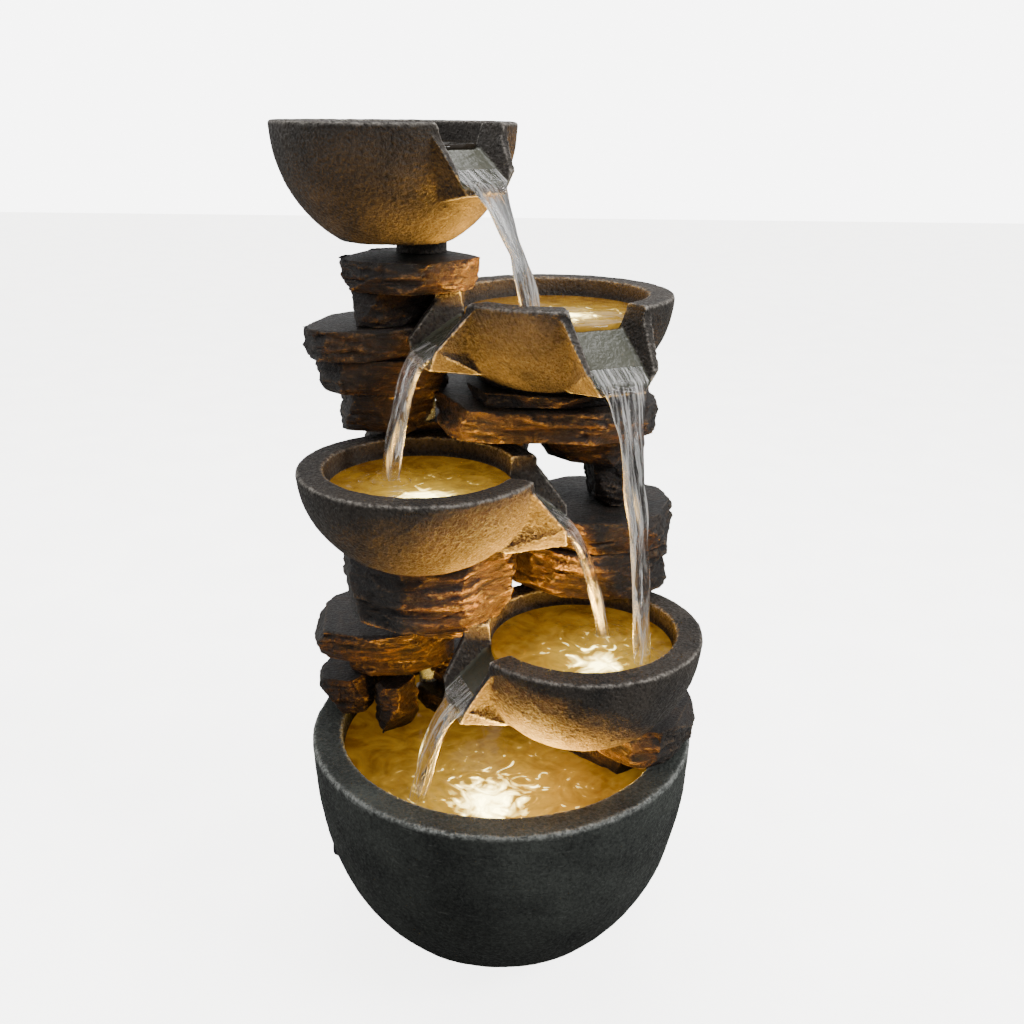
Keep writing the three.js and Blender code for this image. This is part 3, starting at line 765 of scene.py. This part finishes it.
    def wetness(self, place: Array) -> Array:
        """Find the spout floors that water keeps wet: 1 there, 0 on dry surface."""
        wet = np.zeros(len(place))
        for fall in self.falls:
            turn = math.radians(fall.azimuth)
            out = place[:, 0] * math.cos(turn) + place[:, 1] * math.sin(turn)
            across = np.abs(place[:, 1] * math.cos(turn) - place[:, 0] * math.sin(turn))
            floor = -self.entry_floor - np.maximum(0, out - self.slope_start) * self.steepness(fall)
            inside = (out > 40) & (across < self.channel_half_width(out, fall) + 0.4)
            wet = np.maximum(wet, np.where(inside, np.clip(1.6 - np.abs(place[:, 2] - floor) / 1.6, 0, 1), 0))
        return wet

    def build(self, material: bpy.types.Material) -> Piece:
        """Cast the bowl: turn it, add its spouts, and give it a hand-cast surface."""
        body = turned(self.section(), 160).mesh(self.name)
        channels = [part for fall in self.falls for part in self.channel(fall)]
        body = cut_and_joined(body, [self.block(fall) for fall in self.falls], channels)
        body = remeshed(body, self.voxel)
        seed = int(self.centre.z)

        def cast(place: Array, normal: Array) -> Array:
            """Add slow unevenness and small dents, and keep them inside the sharp form."""
            dents = 0.28 * rough(place, 9.0, seed) + 0.16 * rough(place, 2.6, seed + 9, 2)
            return place + normal * (np.minimum(dents, 0.2) - 0.2)[:, None]

        moved(body, cast)
        store(body, "wear_and_highlight", edge_wear_and_highlight(body, 5))
        store(body, "wet", self.wetness(places_and_normals(body)[0]))
        moved(body, lambda place, _: place + np.array(self.centre))
        return Piece(f"{self.name}_cast", body, material, "bowl_resin").standing_for(self.name)


# ---- the basin --------------------------------------------------------------
@dataclass
class Basin:
    """The deep round bowl that everything stands in."""

    name: str = "basin"
    rim_width: float = 15.5
    voxel: float = 1.15
    hot_spot: tuple[float, float] = (-4.0, -54.0)
    water_drop: float = 9.5
    floor: float = 20.0
    outlet_radius: float = 10.3

    def __post_init__(self) -> None:
        """Take the basin's size from the frame."""
        low, high = (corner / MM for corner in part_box(self.name))
        self.radius, self.bottom, self.rim = high.x, low.z, high.z

    def outside(self, height: float) -> float:
        """Return the outside radius at a height, by a smooth curve through the form's main points."""
        heights = [self.bottom, 7, 17, 31, 48, 68, 92, self.rim]
        radii = [44, 52, 64, 75, 84, 90, 94, self.radius]
        return float(np.interp(height, heights, radii))

    def inside(self, height: float) -> float:
        """Return the inside radius at a height."""
        heights = [self.floor, 30, 48, 72, 98, self.rim]
        radii = [46, 59, 69, 75.5, 78.6, self.radius - self.rim_width]
        return float(np.interp(height, heights, radii))

    def section(self) -> list[tuple[float, float]]:
        """Return the basin's section, smoothed between its main points."""
        heights = np.linspace(self.bottom, self.rim - 1.6, 44)
        outer = np.array([self.outside(h) for h in heights])
        inner_heights = np.linspace(self.rim - 1.6, self.floor, 36)
        inner = np.array([self.inside(h) for h in inner_heights])
        for line in (outer, inner):
            for _ in range(10):
                line[1:-1] = (line[:-2] + 2 * line[1:-1] + line[2:]) / 4
        hollow = self.radius - self.rim_width
        rim = [(self.radius - 0.4, self.rim - 0.5), (self.radius - 1.6, self.rim),
               (hollow + 1.6, self.rim), (hollow + 0.4, self.rim - 0.5)]
        return [(0.0, self.bottom), *zip(outer, heights), *rim, *zip(inner, inner_heights), (0.0, self.floor)]

    def build(self, material: bpy.types.Material) -> Piece:
        """Cast the basin, with the cord outlet's hole and a chipped, scored surface."""
        body = turned(self.section(), 200).mesh(self.name)
        low, high = (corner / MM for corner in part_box("cord_grommet"))
        middle = (low + high) / 2
        out = Vector((middle.x, middle.y, 0)).normalized()
        drill = [(0, 40), (self.outlet_radius, 40), (self.outlet_radius, 110), (0, 110)]
        hole = turned(drill, 40).mesh("hole")
        hole.transform(out.to_track_quat("Z", "Y").to_matrix().to_4x4())
        hole.transform(Matrix.Translation((0, 0, middle.z)))
        body = remeshed(cut_and_joined(body, [], [hole]), self.voxel)

        def cast(place: Array, normal: Array) -> Array:
            """Add slow unevenness, scored courses round the side, and chips out of the rim."""
            level = place * np.array([0.12, 0.12, 1.0])
            dents = 0.4 * rough(place, 24.0, 5) + 0.22 * rough(place, 3.2, 7, 3)
            dents += 0.13 * rough(level, 4.0, 6, 3)
            return place + normal * (np.minimum(dents, 0.3) - 0.3)[:, None]

        moved(body, cast)
        store(body, "wear_and_highlight", edge_wear_and_highlight(body, 5))
        return Piece("basin_cast", body, material, "basin_resin").standing_for(self.name)


# ---- the rocks --------------------------------------------------------------
@dataclass(frozen=True)
class SlateRock:
    """One split-slate rock of the column, worked up from its frame node.

    A rock with more swell stands fuller at its sides, to close the joint with its neighbour.
    """

    node: str
    seed: int
    swell: float = 1.2
    voxel: float = 0.85
    blows: int = 60

    def blank(self) -> bpy.types.Mesh:
        """Copy the node's mesh, in millimetres."""
        mesh = frame["nodes"][self.node].data.copy()
        shape = bmesh.new()
        shape.from_mesh(mesh)
        bmesh.ops.remove_doubles(shape, verts=shape.verts, dist=1e-6)
        shape.to_mesh(mesh)
        shape.free()
        moved(mesh, lambda place, _: place / MM)
        return mesh

    def chiselled(self, place: Array, normal: Array) -> Array:
        """Swell the sides a little and strike flat facets off them, most of them steep."""
        random = np.random.default_rng(self.seed)
        side = np.clip(1.3 - np.abs(normal[:, 2]) * 1.6, 0, 1)
        place = place + normal * (side * (self.swell + 1.6 * rough(place, 26.0, self.seed, 2)))[:, None]
        for _ in range(self.blows):
            turn, tilt = random.uniform(0, 2 * math.pi), random.normal(-0.12, 0.42)
            way = np.array([math.cos(turn) * math.cos(tilt), math.sin(turn) * math.cos(tilt), math.sin(tilt)])
            out = place @ way
            over = np.maximum(out - (out.max() - random.uniform(0.6, 4.2)), 0)
            place = place - over[:, None] * way * np.where(np.abs(way[2]) > 0.75, 0.0, 1.0)
        return place

    def flaked(self, place: Array, normal: Array) -> Array:
        """Break the sides into uneven level flakes with creases, and leave the tops nearly flat."""
        side = np.clip(1.35 - np.abs(normal[:, 2]) * 1.5, 0, 1)
        lift = 5.0 * rough(place, 30.0, self.seed + 3, 2) + 1.2 * rough(place, 7.0, self.seed + 4, 2)
        bent = place + np.stack([np.zeros(len(place))] * 2 + [lift], axis=1)
        broken = np.clip(0.5 + 1.6 * rough(place, 16.0, self.seed + 6, 2), 0, 1)
        flake = np.tanh(5 * noise(bent * np.array([0.05, 0.05, 0.26]), self.seed))
        crease = -np.clip(1 - np.abs(noise(bent * np.array([0.04, 0.04, 0.33]), self.seed + 1)) / 0.07, 0, 1)
        crack = -np.clip(1 - np.abs(noise(bent * np.array([0.11, 0.11, 0.07]), self.seed + 2)) / 0.05, 0, 1)
        fine = rough(bent * np.array([0.5, 0.5, 1.5]), 3.0, self.seed + 8, 3)
        chips = rough(place, 5.5, self.seed + 11, 3)
        shift = broken * (1.1 * flake + 1.2 * crease + 0.8 * crack) + 0.55 * fine + 0.7 * chips
        return place + normal * (side * shift + 0.2 * rough(place, 9.0, self.seed + 9, 3))[:, None]

    def build(self, material: bpy.types.Material) -> Piece:
        """Make the rock and let it stand for its node."""
        body = remeshed(self.blank(), self.voxel)
        moved(body, self.chiselled)
        moved(body, self.flaked)
        store(body, "wear_and_highlight", edge_wear_and_highlight(body, 3, 0.12, 0.6))
        return Piece(f"{self.node}_split", body, material, "rock_resin").standing_for(self.node)


# ---- the water --------------------------------------------------------------
@dataclass(frozen=True)
class Pool:
    """The water standing in a bowl: a rippled top over a shallow closed body."""

    name: str
    centre: tuple[float, float]
    level: float
    radius: float
    landings: tuple[tuple[float, float], ...]
    thickness: float = 2.5
    rings: int = 70
    spokes: int = 150

    def height(self, x: float, y: float) -> float:
        """Return the ripple height at a point: rings round each landing over a slow swell."""
        wave = 0.25 * math.sin(x * 0.21 + 1.3) * math.sin(y * 0.26)
        for lx, ly in self.landings:
            far = math.hypot(x - lx, y - ly)
            wave += 0.75 * math.cos(far * 1.05) * math.exp(-far / 11) + 0.9 * math.exp(-((far - 6) / 3) ** 2)
        return wave

    def build(self, material: bpy.types.Material) -> Piece:
        """Make the pool."""
        points = [(self.centre[0], self.centre[1], self.level + self.height(*self.centre))]
        for ring in range(1, self.rings + 1):
            r = self.radius * ring / self.rings
            for k in range(self.spokes):
                turn = 2 * math.pi * k / self.spokes
                x, y = self.centre[0] + r * math.cos(turn), self.centre[1] + r * math.sin(turn)
                calm = min(1, (self.radius - r) / 4)
                points.append((x, y, self.level + self.height(x, y) * calm))
        faces = [(0, 1 + k, 1 + (k + 1) % self.spokes) for k in range(self.spokes)]
        for ring in range(self.rings - 1):
            first = 1 + ring * self.spokes
            for k in range(self.spokes):
                a, b = first + k, first + (k + 1) % self.spokes
                faces.append((a, a + self.spokes, b + self.spokes, b))
        edge = 1 + (self.rings - 1) * self.spokes
        low = len(points)
        points += [(x, y, self.level - self.thickness) for x, y, _ in points[edge:]]
        faces += [(edge + k, low + k, low + (k + 1) % self.spokes, edge + (k + 1) % self.spokes)
                  for k in range(self.spokes)]
        faces.append(tuple(range(low, low + self.spokes)))
        return Piece(self.name, Blank(points, faces).mesh(self.name), material, "clear_plastic")


@dataclass(frozen=True)
class FallingStream:
    """The film of water down a spout's channel and the sheet that falls from its lip."""

    name: str
    bowl: CascadeBowl
    fall: Fall
    end_level: float
    film: float = 1.1
    run_up: float = 7.0
    lip_steps: int = 22
    columns: int = 30
    seed: int = 0

    def path(self) -> list[tuple[Vector, Vector, float, float]]:
        """Return the water's way: middle, across direction, half width and half thickness at each step."""
        fall, bowl = self.fall, self.bowl
        turn = math.radians(fall.azimuth)
        out_way = Vector((math.cos(turn), math.sin(turn), 0))
        side_way = Vector((-math.sin(turn), math.cos(turn), 0))
        steps = []
        for out in np.linspace(fall.reach - self.run_up, fall.reach, self.lip_steps):
            floor = bowl.channel_floor(out, fall)
            lift = self.film * (0.15 + 0.85 * (out - fall.reach + self.run_up) / self.run_up)
            width = bowl.channel_half_width(out, fall) - 0.1
            middle = bowl.centre + out_way * out + Vector((0, 0, floor + lift * 0.7))
            steps.append((middle, side_way, width, lift * 0.7))
        lip = steps[-1][0]
        head = math.radians(fall.heading)
        head_way = Vector((math.cos(head), math.sin(head), 0))
        height = lip.z - self.end_level
        start_sink = fall.run * bowl.steepness(fall)
        count = 90
        for i in range(1, count + 1):
            s = i / count
            forward = out_way.lerp(head_way, min(1.0, s * 1.5)) * (fall.run * s)
            sink = start_sink * s + (height - start_sink) * s * s
            narrow = fall.end_half_width + (fall.half_width - fall.end_half_width) * math.exp(-s * 2.6)
            start = bowl.lip_half_width - 0.1
            width = narrow + (start - narrow) * math.exp(-s * 9)
            thick = 0.8 + (1.5 + 0.6 * s) * (1 - math.exp(-s * 9))
            across = side_way.lerp(Vector((-head_way.y, head_way.x, 0)), min(1.0, s * 1.5)).normalized()
            steps.append((lip + forward - Vector((0, 0, sink)), across, width, thick))
        return steps

    def build(self, material: bpy.types.Material) -> Piece:
        """Sweep the section along the water's way, with strands that wander and cross."""
        steps = self.path()
        points, across_marks, along_marks = [], [], []
        travelled = 0.0
        for i, (middle, across, half, thick) in enumerate(steps):
            ahead = steps[min(i + 1, len(steps) - 1)][0] - steps[max(i - 1, 0)][0]
            travelled += ahead.length / 2
            normal = ahead.normalized().cross(across).normalized()
            free = min(1.0, max(0.0, (i - self.lip_steps + 1) / 14))
            wander = noise(np.array([[travelled / 26, self.seed, 0.5]]), 3)[0] * 2.4 * free
            for k in range(self.columns * 2):
                turn = 2 * math.pi * k / (self.columns * 2)
                c = math.cos(turn)
                strand = noise(np.array([[c * 2.1 + travelled / 60, travelled / 34, self.seed + 0.3]]), 4)[0]
                ridge = noise(np.array([[c * 4.6, travelled / 22, self.seed + 7.3]]), 5)[0]
                swell = 1 + free * (0.9 * strand + 0.7 * ridge)
                flank = np.array([[travelled / 13, math.copysign(3, c), self.seed]])
                edge = 1 + free * 0.18 * noise(flank, 6)[0]
                proud = math.sin(turn) * thick * max(0.35, swell)
                points.append(middle + across * (c * half * edge + wander) + normal * proud)
                across_marks.append(c * half / 1.6 + self.seed * 11)
                along_marks.append(travelled / 38)
        count = self.columns * 2
        faces = [tuple(range(count)), tuple(range(len(points) - count, len(points)))]
        for i in range(len(steps) - 1):
            for k in range(count):
                a, b = i * count + k, i * count + (k + 1) % count
                faces.append((a, b, b + count, a + count))
        mesh = Blank(points, faces).mesh(self.name)
        store(mesh, "across", np.array(across_marks))
        store(mesh, "along", np.array(along_marks))
        return Piece(self.name, mesh, material, "clear_plastic")

    def landing(self) -> tuple[float, float]:
        """Return where the stream meets the pool below."""
        end = self.path()[-1][0]
        return end.x, end.y


@dataclass(frozen=True)
class Bubbles:
    """Bubbles that ride on a pool where a stream lands, thinning out away from it."""

    name: str
    landing: tuple[float, float]
    level: float
    count: int
    spread: float
    seed: int
    keep_within: tuple[float, float, float]

    def build(self, material: bpy.types.Material) -> Piece:
        """Scatter the bubbles as small closed balls, half sunk in the surface."""
        random = np.random.default_rng(self.seed)
        shape = bmesh.new()
        for _ in range(self.count):
            turn, far = random.uniform(0, 2 * math.pi), 3.5 + abs(random.normal(0, self.spread))
            x, y = self.landing[0] + far * math.cos(turn), self.landing[1] + far * math.sin(turn)
            middle_x, middle_y, reach = self.keep_within
            size = random.uniform(0.35, 0.95) * (1.25 if far < self.spread else 0.9)
            if math.hypot(x - middle_x, y - middle_y) > reach - 2:
                continue
            place = Matrix.Translation((x, y, self.level + size * 0.35))
            bmesh.ops.create_icosphere(shape, subdivisions=2, radius=size, matrix=place)
        mesh = bpy.data.meshes.new(self.name)
        shape.to_mesh(mesh)
        shape.free()
        return Piece(self.name, mesh, material, "clear_plastic")


# ---- lights, floor and camera -----------------------------------------------
@dataclass(frozen=True)
class Studio:
    """Pale floor, soft light and the camera."""

    eye: tuple[float, float, float] = (4.1, -479.3, 408.6)
    pitch: float = 20.4
    roll: float = 0.65
    lens: float = 38.1
    room_light: float = 0.66
    seen_light: float = 7.0

    def set_camera(self) -> None:
        """Stand the camera where the object is seen from."""
        data = bpy.data.cameras.new("camera")
        data.lens, data.sensor_width = self.lens, 36.0
        data.clip_start = 0.01
        camera = bpy.data.objects.new("camera", data)
        camera.location = Vector(self.eye) * MM
        look = Euler((math.radians(90 - self.pitch), 0, 0)).to_matrix()
        tilt = Euler((0, 0, math.radians(self.roll))).to_matrix()
        camera.rotation_euler = (look @ tilt).to_euler()
        bpy.context.scene.collection.objects.link(camera)
        bpy.context.scene.camera = camera

    def lay_floor(self, material: bpy.types.Material) -> None:
        """Lay the pale board that the object stands on."""
        half = 4000
        corners = [(-half, -half, 0), (half, -half, 0), (half, half, 0), (-half, half, 0)]
        mesh = Blank(corners, [(0, 1, 2, 3)]).mesh("floor")
        moved(mesh, lambda place, _: place * MM)
        mesh.materials.append(material)
        floor = bpy.data.objects.new("floor", mesh)
        bpy.context.scene.collection.objects.link(floor)

    @staticmethod
    def soft_box(name: str, place: Place, aim: Place, size: float, watts: float) -> None:
        """Hang a square soft light.

        Args:
            name: its name.
            place: where it hangs, in metres.
            aim: the point that it faces, in metres.
            size: its side, in metres.
            watts: its power.
        """
        data = bpy.data.lights.new(name, "AREA")
        data.size, data.energy = size, watts
        light = bpy.data.objects.new(name, data)
        light.location = place
        light.rotation_euler = (Vector(aim) - Vector(place)).to_track_quat("-Z", "Y").to_euler()
        bpy.context.scene.collection.objects.link(light)

    def light_room(self) -> None:
        """Set the pale surround and hang the soft boxes."""
        world = bpy.data.worlds.new("pale room")
        world.use_nodes = True
        background = world.node_tree.nodes["Background"]
        background.inputs["Color"].default_value = linear("ffffff")
        seen = world.node_tree.nodes.new("ShaderNodeLightPath")
        strength = world.node_tree.nodes.new("ShaderNodeMapRange")
        strength.inputs["To Min"].default_value = self.room_light
        strength.inputs["To Max"].default_value = self.seen_light
        world.node_tree.links.new(seen.outputs["Is Camera Ray"], strength.inputs["Value"])
        world.node_tree.links.new(strength.outputs["Result"], background.inputs["Strength"])
        bpy.context.scene.world = world
        self.soft_box("key, right front", (0.9, -0.45, 0.95), (0, 0, 0.25), 0.4, 15.0)
        self.soft_box("fill, left", (-0.9, 0.1, 0.7), (0, 0, 0.2), 0.5, 3.0)
        self.soft_box("top", (0.0, 0.3, 1.3), (0, 0, 0.2), 0.9, 14.0)

    @staticmethod
    def sunken_lamp(name: str, place: Place, watts: float, across: float) -> None:
        """Send a sunken lamp's warm light up out of the water, from a disc just over its surface.

        Args:
            name: its name.
            place: the middle of the disc, in millimetres.
            watts: its power.
            across: the disc's diameter, in millimetres.
        """
        data = bpy.data.lights.new(name, "AREA")
        data.shape, data.size = "DISK", across * MM
        data.energy, data.color = watts, linear("ffc65a")[:3]
        light = bpy.data.objects.new(name, data)
        light.location = Vector(place) * MM
        light.rotation_euler = (math.pi, 0, 0)
        light.visible_transmission = light.visible_glossy = False
        bpy.context.scene.collection.objects.link(light)


# ---- the fittings that keep their frame nodes -------------------------------
@dataclass(frozen=True)
class Fittings:
    """Pump, pipes, lamps and foot, which keep the frame's shapes and get their real finishes."""

    abs_black: Moulding = Moulding("ABS, injection moulded, satin black", "1d2023", "15171a", 0.38)
    nitrile: Moulding = Moulding("nitrile rubber, moulded", "1b1b1b", "111111", 0.75)
    vinyl: Moulding = Moulding("clear PVC tube, extruded", "c9d4d4", "b5c2c2", 0.18, transmission=0.6)
    ceramic: Moulding = Moulding("alumina ceramic rod, ground", "ecebe6", "dedcd5", 0.25)
    ferrite: Moulding = Moulding("bonded ferrite, moulded", "3b3b40", "2c2c31", 0.5)
    lens: Moulding = Moulding("warm polycarbonate lens, moulded", "ffdf9c", "ffd486", 0.15, glow=6.0)
    dial: Moulding = Moulding("amber polycarbonate dial, moulded", "e9c27a", "d9ae62", 0.25)

    def dress(self) -> None:
        """Give each kept node its finish."""
        made = {finish: finish.make() for finish in (self.abs_black, self.nitrile, self.vinyl, self.ceramic,
                                                     self.ferrite, self.lens, self.dial)}
        by_slot = {"pump_plastic": self.abs_black, "rubber": self.nitrile, "hose_vinyl": self.vinyl,
                   "ceramic": self.ceramic, "ferrite": self.ferrite, "clear_plastic": self.lens}
        slots = {part["node"]: part["material_slot"] for part in frame["record"]["subparts"]}
        for node, thing in frame["nodes"].items():
            finish = self.dial if node == "pump_flow_dial" else by_slot.get(slots[node])
            if finish is None:
                continue
            thing.data.materials.clear()
            thing.data.materials.append(made[finish])
            LOG.info("%s: %s", node, finish.name)


GREY_RESIN = CastStoneResin(
    "stone-filled polyester resin, cast, dry-brushed grey", "12100e", "463e35", "a8a198")
# The basin gets painted shade, darkening from 100 mm down to a fifth at its foot.
CHARCOAL_RESIN = CastStoneResin(
    "stone-filled polyester resin, cast, charcoal, scored", "1f2120", "50544f", "9a9c98", grain_mm=1.7,
    pit_mm=6.0, cloud_mm=34, relief_mm=1.5, scratches=0.8, foot=(0.0, 100.0), painted_foot_shade=0.2, sheen=0.12)
# Still water keeps a faint painted glow: an even emission of 0.02 in its own colour.
STILL_WATER = PoolWater(
    "still water in an unlit bowl", (0, 0, 0), 1.0, "24221f", "3a3733", "55524d", 0.02, 0.0)
FULL_SIDED = {"rock_block": 3.4, "rock_slab_lower": 3.4, "rock_slab_upper": 2.2, "rock_column": 2.4}
LAMP_RISE = 1.6                     # of a lamp's disc over the water
BOWL_LAMPS = {                      # right and back of the bowl's centre, and watts
    "bowl_upper": (-16, -16, 1.0), "bowl_middle": (14, -22, 0.6), "bowl_lower": (-18, -24, 2.4),
}
POOL_LAP = 0.4                      # how far a pool's edge runs into the wall round it


def main() -> None:
    """Build the fountain piece by piece."""
    logging.basicConfig(level=logging.INFO, format="%(message)s")
    studio = Studio()
    studio.set_camera()
    studio.lay_floor(PaintedBoard().make())
    studio.light_room()

    bowls = {bowl.name: bowl for bowl in (
        CascadeBowl("bowl_top", Side.LOW, [Fall(-46, 60, 24, -6, 21, 11.0, 8.2, "bowl_upper")]),
        CascadeBowl("bowl_upper", Side.HIGH, [Fall(-154, 66, 25, -150, 17, 10.0, 5.4, "bowl_middle"),
                                              Fall(-66, 67, 29, -34, 16, 11.5, 5.0, "bowl_lower")], (27, 8)),
        CascadeBowl("bowl_middle", Side.LOW, [Fall(-3, 66, 28, 2, 19, 8.0, 3.4, "bowl_lower")], (-33, -40)),
        CascadeBowl("bowl_lower", Side.HIGH, [Fall(-160, 62, 29, -172, 18, 9.5, 6.4, "basin")], (42, -50)),
    )}
    basin = Basin()
    levels = {name: bowl.centre.z - bowl.water_drop for name, bowl in bowls.items()}
    levels["basin"] = basin.rim - basin.water_drop

    resin = GREY_RESIN.make()
    for bowl in bowls.values():
        bowl.build(resin)
    basin.build(CHARCOAL_RESIN.make())

    slate = SplitSlateResin().make()
    for seed, node in enumerate(sorted(n for n in frame["nodes"] if n.startswith("rock_"))):
        SlateRock(node, 20 + seed * 13, FULL_SIDED.get(node, SlateRock.swell)).build(slate)

    water = FallingWater().make()
    basin_pool = (0.0, 0.0, basin.inside(levels["basin"]))
    landings: dict[str, list[tuple[float, float]]] = {name: [] for name in levels}
    for number, (bowl, fall) in enumerate((b, f) for b in bowls.values() for f in b.falls):
        level = levels[fall.lands_in]
        stream = FallingStream(f"stream_{number + 1}", bowl, fall, level - 1.5, seed=number + 1)
        stream.build(water)
        landings[fall.lands_in].append(stream.landing())
        pool = basin_pool if fall.lands_in == "basin" else bowls[fall.lands_in].pool_circle()
        Bubbles(f"bubbles_{number + 1}", stream.landing(), level, 70, 7.0, 40 + number, pool).build(water)

    still = STILL_WATER.make()
    for name, bowl in bowls.items():
        spot = bowl.hot_spot
        material = still
        if spot is not None:
            material = PoolWater(f"lit water, {name}", (*spot, levels[name]), 62.0).make()
        x, y, reach = bowl.pool_circle()
        Pool(f"pool_{name}", (x, y), levels[name], reach + POOL_LAP, tuple(landings[name])).build(material)
        if spot is not None:
            right, back, watts = BOWL_LAMPS[name]
            place = (x + right, y + back, levels[name] + LAMP_RISE)
            studio.sunken_lamp(f"lamp, {name}", place, watts, 30.0)
    basin_water = PoolWater("lit water, basin", (*basin.hot_spot, levels["basin"]), 95.0).make()
    Pool("pool_basin", (0, 0), levels["basin"], basin_pool[2] + POOL_LAP, tuple(landings["basin"]),
         rings=110, spokes=220).build(basin_water)
    studio.sunken_lamp("lamp, basin", (12, -60, levels["basin"] + LAMP_RISE), 4.0, 34.0)

    Fittings().dress()

    collar = frame["nodes"]["riser_collar"].data
    collar.materials.clear()
    collar.materials.append(resin)


if __name__ == "__main__":
    main()
